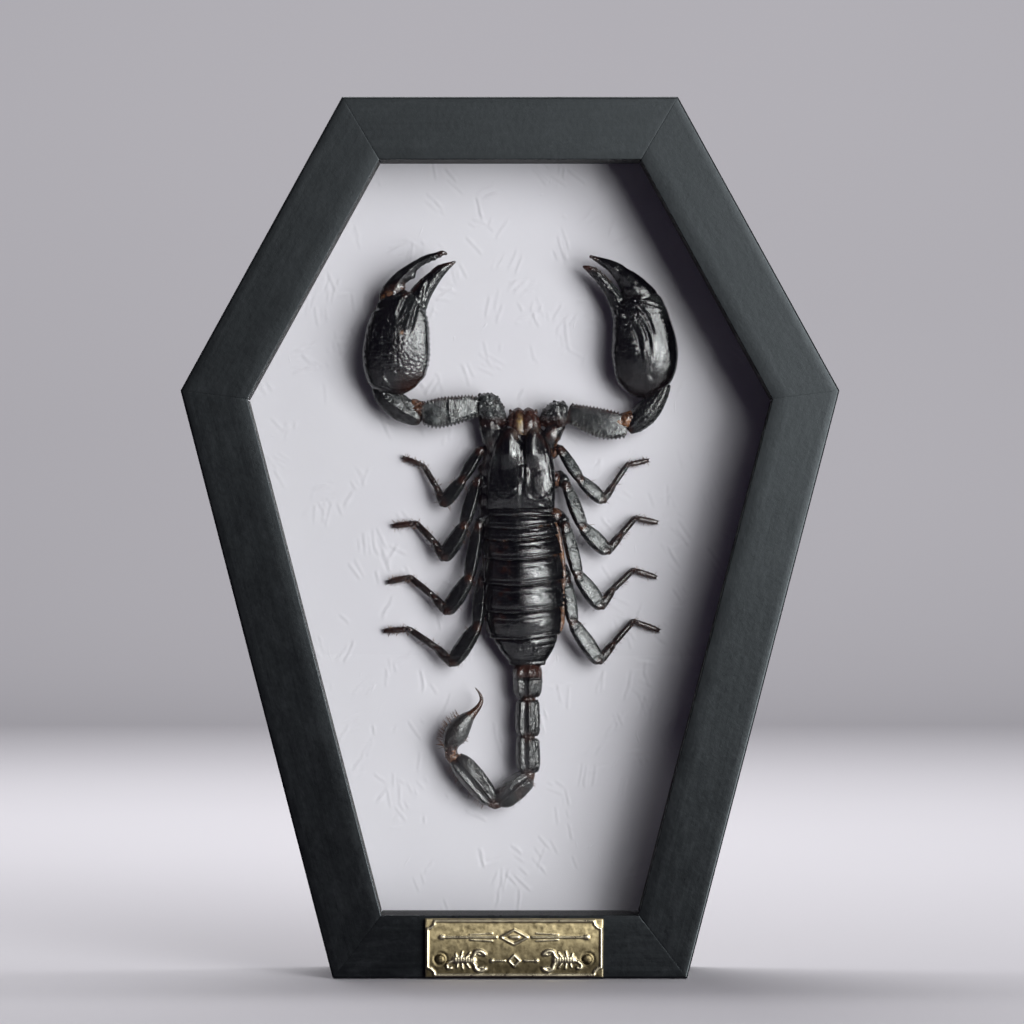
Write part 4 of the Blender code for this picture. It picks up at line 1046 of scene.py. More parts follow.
BITE = {
    "left": ([(-13.3, 171.3), (-16.9, 170.8), (-18.8, 169.6), (-20.7, 168.7), (-22.7, 165.5), (-25.5, 163.1)],
             [(-15.4, 173.2), (-18.8, 171.8), (-21.9, 170.4), (-22.9, 167.6), (-25.5, 165.3)]),
    "right": ([(17.6, 170.4), (20.2, 169.9), (21.7, 169.2), (23.1, 168.2), (24.3, 167.0)],
              [(19.5, 172.5), (21.2, 171.6), (22.7, 170.4), (24.1, 168.9), (24.6, 167.7)]),
}
HINGE = {
    "left": [(-32.6, 161.0), (-31.3, 162.3), (-28.4, 163.5), (-25.8, 164.6)],
    "right": [(24.3, 167.0), (25.4, 164.6), (26.9, 163.2), (29.6, 162.0), (33.3, 161.3), (36.6, 160.2)],
}


def with_thickness(side, piece):
    """The stations of a pincer's piece with their half thickness."""
    share = THICKNESS_SHARE[piece]
    return [(x, z, height, width, width * share) for x, z, height, width in PINCERS[f"{side}_{piece}"]]


def cut_teeth(p, line, width, count, power, size, base=0.0):
    """A row of teeth along a line of places, on a base of their own."""
    off, share = along(p, resample(line))
    tooth = (0.5 + 0.5 * np.cos(share * 2 * np.pi * count)) ** power
    return hill(off, width) * (size * tooth + base)


def hand(side):
    """A swollen hand with its fixed finger, and its movable finger."""
    left = side == "left"
    palm = with_thickness(side, "palm")
    finger = with_thickness(side, "fixed_finger")
    palm_form = tube(palm, 70, 84, profile=resample(VAULT[side], 60))
    form = union([palm_form, tube(finger, 50, 28, top=1.1)], 0.14, 8)

    def relief(p, n):
        x, z, _ = p.T
        up = ramp(n[:, 2], -0.2, 0.25)
        height = np.zeros(len(p))
        specks = beads(p, 0.80, 29)
        rough = 0.25 if left else 0.7
        for line, size in zip(HAND_KEELS[side], (0.46, 0.40, 0.32, 0.16, 0.24)):
            line = resample(line)
            height += size * ridge(p, line, 0.55, 0.3) * (1.0 - rough + rough * 1.4 * specks)
            height -= 0.7 * size * ridge(p, line + np.array([1.05, 0.1]), 0.55, 0.3)
        middle = palm[3][0]
        upper = ramp(z + 0.5 * (x - middle) * (1 if left else -1), 153.0, 160.0)
        dark_side = 1 - ramp(x, middle - 3.0, middle)
        scales = granules(p * (0.8, 1.4, 1.0), 1.15, 17)
        streaks = noise(p * (1.0, 0.22, 1.0), 0.75, 18, 2)
        height += (1 - upper) * (0.080 * scales if left else 0.030 * scales + 0.030 * streaks)
        height += (0.02 + 0.05 * upper + 0.10 * dark_side) * specks + 0.08 * noise(p, 3.0, 12, 2)
        hinge, _ = along(p, resample(HINGE[side]))
        height += 0.16 * hill(hinge - 0.55, 0.35) * (z < 164.5) * up
        teeth = cut_teeth(p, INNER_EDGE[side], 0.45, 12 if left else 15, 2, 0.18, 0.03)
        base = 1 - ramp(z, 140.6, 147.0)
        brown = 0.8 * (1 - ramp(distance_from(p, finger[-1]), 0.4, 3.0))
        brown += 0.65 * base * ramp(x, -29, -24) if left else 0.08 * base
        lips = hill(along(p, resample(BITE[side][0]))[0], 0.55)
        height += 0.12 * lips * (noise(p, 0.8, 14) > 0.1)
        # The pale colour on the upper palm is painted sheen, kept to faces turned right towards the key
        # light.
        return up * height + teeth, {"brown": brown + 0.6 * lips,
                                     "skin": 0.8 * left * bump(p, -26.0, 154.2, 0.42),
                                     "dust_and_sheen": 0.25 * upper * up * ramp(n[:, 0], -0.1, 0.35)}

    add_shell(f"{side}_hand_shell", form, relief, [f"{side}_pincer_hand"])
    movable_finger(side)


def movable_finger(side):
    left = side == "left"
    finger = with_thickness(side, "movable_finger")
    form = union([tube(finger, 60, 32, top=1.1)], 0.15, 4)

    def finger_relief(p, n):
        up = ramp(n[:, 2], -0.4, 0.2)
        keel = 0.20 * ridge(p, resample(finger, 30)[5:26, :2], 0.40, 0.3)
        height = up * (keel + 0.03 * granules(p, 0.55, 33) + 0.12 * noise(p, 1.8, 3, 2))
        height += cut_teeth(p, BITE[side][1], 0.4, 9, 2, 0.20)
        if left:
            height += 0.75 * bump(p, -23.0, 167.7, 0.7) - 0.5 * bump(p, -24.9, 166.2, 0.8)
        else:
            dents = 0.15 * bump(p, 29.0, 164.6, 1.3, 0.8) - 0.20 * bump(p, 30.8, 163.4, 1.1, 0.7)
            height += up * dents
        hinge, _ = along(p, resample(HINGE[side]))
        brown = 0.8 * (1 - ramp(distance_from(p, finger[-1]), 0.4, 3.0))
        brown += (0.8 if left else 0.06) * (1 - ramp(hinge, 0.6, 3.0))
        skin = 0.6 * left * (1 - ramp(hinge, 0.3, 1.7)) * patches(p, -0.2, 0.5, 1.0, 19, 2)
        dust_and_sheen = (0.22 if left else 0.08) * up * patches(p, -0.2, 0.5, 1.4, 21, 3)
        return height, {"brown": brown, "skin": skin, "dust_and_sheen": dust_and_sheen}

    add_shell(f"{side}_movable_finger_shell", form, finger_relief, [f"{side}_pincer_movable_finger"])


FEMUR_SECTION = (
    (-1.0, 0.0), (-0.96, 0.50), (-0.88, 0.92), (-0.70, 0.86), (0.0, 0.76), (0.70, 0.72), (0.88, 0.76),
    (0.96, 0.45), (1.0, 0.0),
)
FEMUR_EDGES = {
    "left": ([(-8.4, 138.6), (-9.6, 138.9), (-14.5, 138.6), (-16.9, 138.3), (-19.6, 137.6)],
             [(-8.2, 134.4), (-9.6, 133.9), (-12.1, 132.8), (-14.0, 132.0), (-16.9, 131.6), (-20.6, 132.0)]),
    "right": ([(15.2, 136.9), (16.9, 136.5), (19.3, 136.3), (21.7, 135.8), (24.1, 135.3), (26.8, 134.7)],
              [(15.0, 132.6), (16.9, 131.4), (19.3, 130.2), (21.7, 129.3), (23.6, 129.0), (27.4, 129.3)]),
}
PATELLA_SECTION = {
    "left": ((-1.0, 0.0), (-0.95, 0.32), (-0.60, 0.68), (-0.12, 1.0), (0.3, 0.86), (0.8, 0.56), (0.95, 0.36),
             (1.0, 0.0)),
    "right": ((-1.0, 0.0), (-0.95, 0.40), (-0.60, 0.76), (0.0, 0.95), (0.45, 1.0), (0.8, 0.72), (0.95, 0.42),
              (1.0, 0.0)),
}
PATELLA_KEELS = ((-0.75, 0.22), (-0.12, 0.26), (0.88, 0.24))


def femur(side):
    left = side == "left"
    stations = with_thickness(side, "femur")
    form = union([tube(stations, 50, 48, belly=0.8, profile=FEMUR_SECTION)], 0.15, 3)

    def relief(p, n):
        up = ramp(n[:, 2], -0.1, 0.5)
        height = up * rough_skin(p, 41, 0.7)
        if left:
            height += 0.22 * up * ridge(p, [(-14.7, 138.4), (-14.7, 135.2), (-14.0, 132.0)], 0.35)
        brown = np.zeros(len(p))
        for line, orange in zip(FEMUR_EDGES[side], (0.65, 0.15)):
            height += cut_teeth(p, line, 0.36, 14, 1.5, 0.50, 0.04)
            brown += orange * 1.3 * hill(along(p, resample(line))[0], 0.36)
        ends = np.minimum(*(np.abs(p[:, 0] - stations[end][0]) for end in (0, -1)))
        # The pale colour on the femur is partly dust and partly painted sheen on its lit facets.
        dust_and_sheen = (0.75 if left else 0.16) * up * patches(p, -0.8, 0.5, 1.8, 6, 3)
        return height, {"brown": brown + 0.6 * (1 - ramp(ends, 0.2, 1.0)), "dust_and_sheen": dust_and_sheen}

    add_shell(f"{side}_femur_shell", form, relief, [f"{side}_pincer_femur"], "satin_shell")


def patella(side):
    stations = with_thickness(side, "patella")
    form = union([tube(stations, 50, 44, profile=PATELLA_SECTION[side])], 0.15, 3)
    fine = resample(stations, 30)

    def relief(p, n):
        up = ramp(n[:, 2], -0.3, 0.2)
        height = up * rough_skin(p, 51, 1.2)
        height += beaded_keels(p, fine, PATELLA_KEELS, 0.26, 0.12, 1.0, 53)
        brown = 0.8 * (1 - ramp(distance_from(p, fine[0]), 0.4, 1.8))
        brown += 0.5 * (1 - ramp(distance_from(p, fine[-1]), 0.4, 1.6))
        dust_and_sheen = (0.55 if side == "left" else 0.04) * up * patches(p, -0.6, 0.6, 1.4, 16, 3)
        # Painted sheen: the pale colour is kept to faces turned right, towards the key light.
        return height, {"brown": brown, "dust_and_sheen": dust_and_sheen * ramp(n[:, 0], -0.05, 0.15)}

    add_shell(f"{side}_patella_shell", form, relief, [f"{side}_pincer_patella"], "satin_shell")


def trochanter(side):
    stations = with_thickness(side, "trochanter")
    form = union([tube(stations, 30, 32, top=0.8)], 0.14, 3)
    x, z = stations[2][:2]

    def relief(p, n):
        up = ramp(n[:, 2], -0.3, 0.3)
        height = 0.34 * ramp(granules(p, 1.0, 61), 0.5, 1.0) + 0.22 * up * noise(p, 1.5, 24, 2)
        height += 0.25 * up * ridge(p, [(x, z), (x + 0.4, z - 4)], 0.3)
        upper = ramp(p[:, 1], 132.6, 134.8)
        dust_and_sheen = (0.6 if side == "left" else 0.3) * up * upper * patches(p, -0.7, 0.5, 0.9, 44, 2)
        brown = 0.2 * patches(p, 0.0, 0.8, 1.2, 26, 2) + 0.5 * (1 - upper)
        return height, {"brown": brown, "dust_and_sheen": dust_and_sheen}

    add_shell(f"{side}_trochanter_shell", form, relief, [f"{side}_pincer_trochanter"], "satin_shell")


LEG_JOINTS = {  # x and z of each leg's joints, from the body to the foot
    "left_leg_1": ((-5.0, 125.8), (-7.4, 125.9), (-11.6, 118.8), (-16.2, 112.9), (-17.7, 116.9),
                   (-20.9, 122.2), (-25.7, 124.2)),
    "left_leg_2": ((-5.6, 119.6), (-8.0, 118.4), (-11.1, 107.7), (-16.0, 99.8), (-18.2, 103.6),
                   (-22.8, 108.4), (-28.2, 107.7)),
    "left_leg_3": ((-5.6, 110.6), (-7.7, 107.6), (-9.9, 95.1), (-15.2, 86.9), (-18.4, 90.5), (-24.3, 95.3),
                   (-29.4, 94.1)),
    "left_leg_4": ((-5.6, 97.6), (-6.9, 94.2), (-8.0, 83.3), (-14.0, 74.4), (-17.7, 78.1), (-24.5, 82.7),
                   (-30.3, 82.2)),
    "right_leg_1": ((10.6, 126.4), (12.4, 126.0), (16.9, 119.0), (22.5, 113.8), (24.9, 117.4),
                    (28.4, 122.5), (33.3, 123.5)),
    "right_leg_2": ((11.4, 120.6), (13.7, 117.4), (17.6, 107.4), (23.5, 101.5), (26.6, 105.3),
                    (30.3, 109.6), (35.4, 108.6)),
    "right_leg_3": ((11.6, 110.8), (13.5, 107.6), (16.4, 95.9), (22.0, 88.1), (24.7, 92.2), (29.8, 97.0),
                    (35.2, 95.3)),
    "right_leg_4": ((12.4, 98.4), (13.7, 94.6), (15.2, 84.3), (21.5, 74.9), (24.9, 79.1), (29.8, 84.6),
                    (35.9, 82.4)),
}
LEG_HEIGHTS = {  # of the joints of each pair of legs
    "1": (2.4, 4.2, 5.6, 4.6, 3.4, 1.7, 0.8),
    "2": (2.4, 4.2, 5.8, 4.8, 3.4, 1.7, 0.8),
    "3": (2.4, 4.2, 6.0, 4.8, 3.4, 1.7, 0.8),
    "4": (2.4, 3.8, 5.8, 5.0, 3.4, 1.7, 0.8),
}
LEG_WIDTHS = ((1.3, 1.6, 1.3), (1.35, 1.72, 1.3), (1.5, 2.1, 1.45), (1.1, 1.15, 0.95), (0.85, 0.85, 0.75),
              (0.62, 0.74, 0.55))
LEG_SECTION = ((-1.0, 0.0), (-0.92, 0.45), (-0.5, 1.0), (0.2, 0.74), (0.8, 0.42), (1.0, 0.0))
JOINT_WIDTHS = (1.4, 1.4, 1.2, 0.9, 0.8)
JOINT_OVERLAP = 0.35
LEG_THICKNESS = 0.84  # share of the width
FIRST_LEG_SHARE = 0.86  # of the other legs' widths
SHARP_LEG_PARTS = (1, 2)
CLAW_LENGTH = 1.1
CLAW_WIDTH = 0.24
SPINE_WIDTH = 0.20


def leg_part(start, end, near, full, far):
    """Stations of one part of a leg, from its near end over its full middle to its far end."""
    widths = ((0.0, 0.7 * near), (0.07, near), (0.28, 0.4 * near + 0.6 * full), (0.55, full),
              (0.82, 0.4 * far + 0.6 * full), (0.95, far), (1.0, 0.65 * far))
    return [(*(start + (end - start) * share), width, LEG_THICKNESS * width) for share, width in widths]


def claws_and_spines(ankle, foot):
    """Two claws on the foot and pairs of small spines under it."""
    heading = (foot - ankle) / np.linalg.norm(foot - ankle)
    across = np.array([-heading[1], heading[0], 0.0])
    parts = []
    for turn in (-1, 1):
        claw = []
        for t in (-0.2, 0.3, 0.65, 1.0):
            spread = across * turn * (0.25 + 0.45 * t - 0.25 * t * t)
            spot = foot + heading * CLAW_LENGTH * t + spread + np.array([0, 0, 0.25 - 0.75 * t * t])
            claw.append((*spot, CLAW_WIDTH * (1 - 0.8 * t), CLAW_WIDTH * (1 - 0.8 * t)))
        parts.append(tube(claw, 8, 8))
        for share in (0.0, 0.2, 0.4, 0.6, 0.8):
            root = ankle + (foot - ankle) * share + across * turn * 0.45
            spine = across * turn * 0.55 + heading * 0.35
            parts.append(tube([(*(root + spine * t), SPINE_WIDTH * (1 - 0.7 * t), SPINE_WIDTH * (1 - 0.7 * t))
                               for t in (0.0, 0.5, 1.0)], 4, 6))
    return parts


def leg(name, plan):
    """One leg: six parts through its joints, with claws and spines on the foot."""
    turned = name.startswith("left")
    section = [(-a, h) for a, h in LEG_SECTION[::-1]] if turned else LEG_SECTION
    joints = np.column_stack([plan, LEG_HEIGHTS[name[-1]]])
    slim = FIRST_LEG_SHARE if name.endswith("1") else 1.0
    parts = []
    crests = []
    for number, (start, end) in enumerate(zip(joints, joints[1:])):
        overlap = (end - start) / np.linalg.norm(end - start) * JOINT_OVERLAP
        path = leg_part(start - overlap if number else start, end + overlap,
                        *np.array(LEG_WIDTHS[number]) * slim)
        sharp = number in SHARP_LEG_PARTS
        parts.append(tube(path, 30, 28 if sharp else 18, profile=section if sharp else None))
        middle = np.array([s[:2] for s in path[1:-1]])
        half = np.array([s[3] for s in path[1:-1]])[:, None]
        crests.append(middle + rightward(middle) * half * (0.5 if turned else -0.5) * sharp)
    form = union(parts + claws_and_spines(*joints[-2:]), 0.16, 2)

    def relief(p, n):
        up = ramp(n[:, 2], -0.3, 0.2)
        height = up * rough_skin(p, 71, 1.2 if turned else 0.8)
        for number in (1, 2, 3, 4):
            height += up * (0.14 if number < 3 else 0.08) * ridge(p, crests[number], 0.20, 0.1)
        brown = np.zeros(len(p))
        for joint, width in zip(plan[1:6], JOINT_WIDTHS):
            off = distance_from(p, joint)
            brown = np.maximum(brown, 0.75 * (1 - ramp(off, 0.4 * width, 1.1 * width)))
            height -= 0.16 * hill(off - 1.05 * width, 0.24) * up
            height += 0.15 * hill(off, 0.5 * width) * up
        toe, share = along(p, plan[5:])
        tibia, _ = along(p, plan[3:6:2])
        blade, _ = along(p, plan[1:4])
        brown = np.maximum(brown, 0.6 * (1 - ramp(toe, 1.0, 1.6)) * ramp(share, 0.0, 0.25))
        brown = np.maximum(brown, 0.25 * (1 - ramp(tibia, 0.9, 1.3)))
        skin = 0.30 * (1 - ramp(distance_from(p, plan[2]), 0.3, 1.0)) * patches(p, 0.0, 0.6, 0.8, 28, 2)
        dust_and_sheen = (0.10 if turned else 0.60) * up * (1 - ramp(blade, 1.9, 2.3))
        # Painted sheen: the pale colour is kept to faces turned right, towards the key light.
        dust_and_sheen = dust_and_sheen * patches(p, -0.8, 0.4, 1.6, 38, 3) * ramp(n[:, 0], 0.02, 0.18)
        return height, {"brown": brown, "skin": skin, "dust_and_sheen": dust_and_sheen * (1 - brown)}

    add_shell(f"{name}_shell", form, relief, [name], "satin_shell")


ARM_BASES = {
    "left": ((-6.0, 135.4, 3.8, 1.6), (-5.0, 132.6, 4.0, 2.6), (-4.0, 129.4, 4.2, 2.8),
             (-3.0, 125.6, 4.2, 2.2)),
    "right": ((12.6, 132.6, 4.2, 1.5), (11.0, 131.2, 4.6, 2.2), (9.6, 128.6, 4.7, 2.3),
              (8.4, 125.2, 4.4, 1.7)),
}
LEG_BASES = {  # the inner and the outer end of each
    "left": (((-1.5, 124.6, 2.6), (-6.6, 124.6, 2.8)), ((-2.0, 121.4, 2.4), (-7.8, 121.0, 2.6)),
             ((-2.0, 117.6, 2.4), (-7.8, 117.6, 2.8)), ((-2.0, 114.2, 2.4), (-7.8, 113.8, 2.6)),
             ((-2.0, 110.6, 2.4), (-7.4, 110.0, 2.8)), ((-2.0, 106.6, 2.2), (-7.0, 106.0, 2.4)),
             ((-2.0, 102.6, 2.2), (-6.8, 102.0, 2.4)), ((-2.0, 98.6, 2.2), (-6.6, 97.6, 2.4))),
    "right": (((7.0, 125.0, 2.6), (11.4, 126.4, 3.0)), ((7.2, 118.6, 2.6), (12.4, 119.2, 3.0)),
              ((7.4, 111.0, 2.6), (12.4, 109.6, 3.0)), ((8.0, 100.0, 2.4), (12.8, 97.0, 2.8))),
}
LEG_BASE_WIDTHS = ((0.0, 1.2), (0.3, 2.1), (0.75, 2.1), (0.95, 1.7), (1.0, 1.0))


def coxae():
    """The leg and arm bases that fill the flanks under the shield."""
    for side, arm_base in ARM_BASES.items():
        right = side == "right"
        parts = [tube([(*s, 0.9 * s[3]) for s in arm_base], 24, 24, top=0.9 if right else 0.6)]
        for inner, outer in np.array(LEG_BASES[side]):
            path = [(*(inner + (outer - inner) * t), width, width) for t, width in LEG_BASE_WIDTHS]
            parts.append(tube(path, 20, 20))

        def relief(p, n):
            height = 0.22 * noise(p, 1.6, 64, 2) + 0.08 * beads(p, 0.7, 66)
            skin = 0.45 * right * patches(p, 0.15, 0.7, 1.1, 68, 2) * (1 - ramp(p[:, 1], 127.5, 129.5))
            brown = (1.0 if right else 0.3) * patches(p, -0.3, 0.6, 1.5, 67, 2)
            return height, {"brown": brown, "skin": skin}

        add_shell(f"{side}_coxae_shell", union(parts, 0.2, 3), relief, material="satin_shell")


SOFT_SKIN = {  # rows, how pale it is, and stations
    "side_skin_right": (46, 0.8, (10.6, 109.5, 4.4, 0.4), (11.2, 107.2, 5.0, 0.60), (12.2, 103.1, 5.2, 0.62),
                        (12.8, 97.1, 5.2, 0.68), (12.7, 92.0, 5.1, 0.55), (12.7, 88.0, 5.1, 0.72),
                        (12.4, 83.8, 4.9, 0.66), (11.4, 81.6, 4.6, 0.4)),
    "side_skin_left": (46, 0.15, (-5.4, 108.5, 3.6, 0.5), (-6.0, 103.1, 3.9, 0.7), (-6.0, 96.0, 3.9, 0.7),
                       (-5.9, 88.0, 3.8, 0.7), (-5.0, 82.0, 3.6, 0.5)),
    "arm_skin_left": (22, 0.45, (-19.4, 135.4, 5.2, 1.5), (-21.6, 135.9, 5.5, 2.0), (-24.6, 137.0, 5.2, 1.5)),
    "arm_skin_right": (22, 0.8, (25.8, 132.8, 5.2, 1.6), (28.0, 133.2, 5.5, 2.0), (30.6, 134.4, 5.2, 1.5)),
    "tail_skin_1": (10, 0.1, (4.2, 75.4, 4.6, 2.6), (4.2, 73.2, 4.6, 2.6)),
    "tail_skin_2": (10, 0.1, (4.3, 67.0, 4.6, 1.9), (4.3, 65.0, 4.6, 1.9)),
    "tail_skin_3": (10, 0.1, (4.3, 57.4, 4.6, 1.8), (4.3, 55.2, 4.6, 1.8)),
    "tail_skin_4": (12, 0.2, (4.4, 49.2, 4.6, 1.6), (4.4, 47.6, 4.6, 1.7), (4.0, 46.2, 4.6, 1.6)),
    "tail_skin_5": (12, 0.1, (-2.6, 40.9, 4.6, 1.2), (-3.8, 40.5, 4.6, 1.3), (-5.0, 41.2, 4.6, 1.2)),
    "tail_skin_6": (14, 0.5, (-12.9, 50.6, 4.6, 1.5), (-14.0, 52.0, 4.6, 1.6), (-14.1, 53.6, 4.7, 1.4)),
    "hand_skin_left": (12, 0.2, (-31.6, 140.6, 5.2, 1.2), (-30.0, 142.4, 5.4, 1.9), (-28.6, 144.0, 5.6, 1.6)),
    "hand_skin_right": (12, 0.2, (37.4, 140.2, 5.2, 1.2), (35.6, 142.2, 5.4, 1.9), (34.4, 144.0, 5.6, 1.6)),
    "neck_skin": (12, 0.1, (2.9, 132.4, 4.6, 3.6), (2.9, 129.8, 5.0, 4.0)),
    "waist_skin": (12, 0.0, (2.5, 112.0, 5.0, 6.8), (2.5, 109.6, 5.0, 6.8)),
}


def soft_skin():
    """The skin that shows between the hard pieces, in folds."""
    for name, (rows, pale, *stations) in SOFT_SKIN.items():
        path = [(*s, 0.9 * s[3] if s[3] < 3 else 2.6) for s in stations]
        fold_height = 0.30 if "arm" in name else 0.14

        def relief(p, n):
            folds = fold_height * noise(p * (1.0, 1.6, 1.0), 0.9, 44, 2)
            shade = pale * (0.25 + 0.75 * patches(p, -0.5, 0.6, 1.6, 45, 3))
            return folds, {"skin": shade, "brown": np.full(len(p), 0.7)}

        add_shell(name, union([tube(path, rows, 24)], 0.17, 2), relief, material="satin_shell")


BRISTLE_WIDTHS = ((0.0, 0.065), (0.4, 0.055), (0.75, 0.04), (1.0, 0.015))  # share of the length, half width
BRISTLE_ROWS = 5
BRISTLE_AROUND = 4
LEG_BRISTLES = 9
HAIRY_LEG_PARTS = ((2, 1.7), (3, 0.9), (4, 0.7), (5, 0.6))  # the joint it starts from and its half width


def bristle_lines():
    """Lines that bristles grow from: stations, side, count, shortest and longest bristle."""
    lines = [
        (STINGER[1:6], -1, 44, 1.5, 2.2), (TAIL_SEGMENTS[4][::-1], -1, 26, 1.0, 1.7),
        (TAIL_SEGMENTS[3], 1, 10, 0.6, 1.0), (STINGER[2:5], 1, 8, 0.7, 1.2),
    ]
    for side, sign in (("left", -1), ("right", 1)):
        palm = [(x, z, width) for x, z, _, width in PINCERS[f"{side}_palm"][1:8]]
        lines += [(palm, sign, 60, 0.5, 1.4), (palm, -sign, 16, 0.3, 0.7)]
    for name, plan in LEG_JOINTS.items():
        count = int(LEG_BRISTLES * (1.0 if name.startswith("left") else 0.55))
        for start, width in HAIRY_LEG_PARTS:
            part = [(*joint, width) for joint in plan[start:start + 2]]
            lines += [(part, sign, count, 0.5, 1.2) for sign in (-1, 1)]
    return lines


def hairs():
    """Fine bristles along the edges of the hands, the legs and the end of the tail."""
    rng = np.random.default_rng(31)
    steps = 40
    points, faces = [], []
    for stations, sign, count, shortest, longest in bristle_lines():
        path = resample(stations, steps)
        out = rightward(path[:, :2]) * sign
        for _ in range(count):
            i = rng.integers(2, steps - 2)
            length = rng.uniform(shortest, longest)
            ahead = path[i + 1, :2] - path[i - 1, :2]
            lean = out[i] + ahead / np.linalg.norm(ahead) * rng.normal(0.3, 0.35)
            root = path[i, :2] + out[i] * path[i, 2] * rng.uniform(0.75, 0.92)
            low = rng.uniform(3.6, 6.2) if path[i, 2] > 1.2 else rng.uniform(2.0, 3.2)
            droop = rng.uniform(-0.5, 0.3)
            hair = [(*(root + lean * length * t), low + droop * t * t, width, width)
                    for t, width in BRISTLE_WIDTHS]
            hair_points, hair_faces = tube(hair, BRISTLE_ROWS, BRISTLE_AROUND)
            first = BRISTLE_ROWS * BRISTLE_AROUND * len(points)
            faces += [tuple(first + v for v in face) for face in hair_faces]
            points.append(hair_points)
    p = place(np.vstack(points))
    masks = {"brown": np.full(len(p), 0.8), "skin": np.full(len(p), 0.45), "dust_and_sheen": np.zeros(len(p))}
    add_piece("fine_bristles", p, faces, MATERIALS["satin_shell"], masks=masks)


BORDER = [(-18.9, 6.45), (18.9, 6.45), (19.1, 5.6), (19.9, 4.8), (20.65, 4.6), (20.65, -4.6), (19.9, -4.8),
          (19.1, -5.6), (18.9, -6.45), (-18.9, -6.45), (-19.1, -5.6), (-19.9, -4.8), (-20.65, -4.6),
          (-20.65, 4.6), (-19.9, 4.8), (-19.1, 5.6), (-18.9, 6.45)]
FIGURE_STROKES = (  # the left scorpion: places from the plate's middle, half width and height
    ([(-13.9, -2.8), (-12.6, -2.75), (-10.9, -2.8), (-9.9, -2.85)], 0.85, 0.34),
    ([(-14.2, -3.0), (-15.3, -3.3), (-16.0, -4.0), (-15.7, -4.8), (-15.0, -4.7)], 0.32, 0.26),
    ([(-10.0, -2.3), (-9.5, -1.6), (-9.2, -0.9), (-8.0, -0.75), (-7.0, -1.4)], 0.48, 0.34),
    ([(-8.9, -1.2), (-8.1, -1.6), (-7.5, -1.6)], 0.25, 0.25),
    ([(-10.0, -3.4), (-9.4, -4.0), (-9.1, -5.0), (-8.0, -5.5), (-6.9, -4.9)], 0.45, 0.32),
    ([(-8.8, -4.9), (-8.1, -4.6), (-7.4, -4.6)], 0.25, 0.25),
    ([(-13.6, -2.2), (-13.9, -1.4)], 0.22, 0.22), ([(-12.6, -2.0), (-12.3, -0.9)], 0.22, 0.24),
    ([(-11.3, -2.0), (-10.5, -1.1)], 0.22, 0.24), ([(-13.4, -3.6), (-13.6, -4.5)], 0.22, 0.22),
    ([(-12.4, -3.7), (-12.2, -4.8)], 0.22, 0.24), ([(-11.3, -3.7), (-10.6, -4.6)], 0.22, 0.24),
)
DIVIDER_STROKES = (  # the left half and the middle of a plain ornament
    ([(-17.4, 2.6), (-4.2, 2.6)], 0.26, 0.26), ([(-3.2, 2.6), (0.0, 4.3)], 0.30, 0.30),
    ([(-3.2, 2.6), (0.0, 0.9)], 0.30, 0.30), ([(-0.9, 2.6), (0.0, 2.6)], 0.42, 0.30),
    ([(-17.4, 2.6), (-17.0, 2.6)], 0.55, 0.28), ([(-5.2, 3.5), (-10.5, 3.2)], 0.16, 0.18),
    ([(-5.2, 1.7), (-10.5, 2.0)], 0.16, 0.18), ([(0.0, -1.7), (-1.3, -3.0), (0.0, -4.3)], 0.30, 0.28),
    ([(-2.2, -3.0), (-5.4, -3.0)], 0.22, 0.22), ([(-5.4, -3.0), (-5.2, -3.0)], 0.45, 0.26),
)


def level_form(levels, corners):
    """A closed form from rings at heights, each a list of places round the outline."""
    points = [(x, z, height) for height, size in levels for x, z in corners(size)]
    around = len(points) // len(levels)
    return np.array(points, float), skin_faces(len(levels), around)


PLATE_FRONT = PAPER_Y - PLATE_Y  # height above the paper
RIVET_LEVELS = ((-0.4, 1.1), (0.15, 1.14), (0.4, 1.06), (0.62, 0.82), (0.74, 0.45), (0.76, 0.1))
RIVET_SIDES = 20


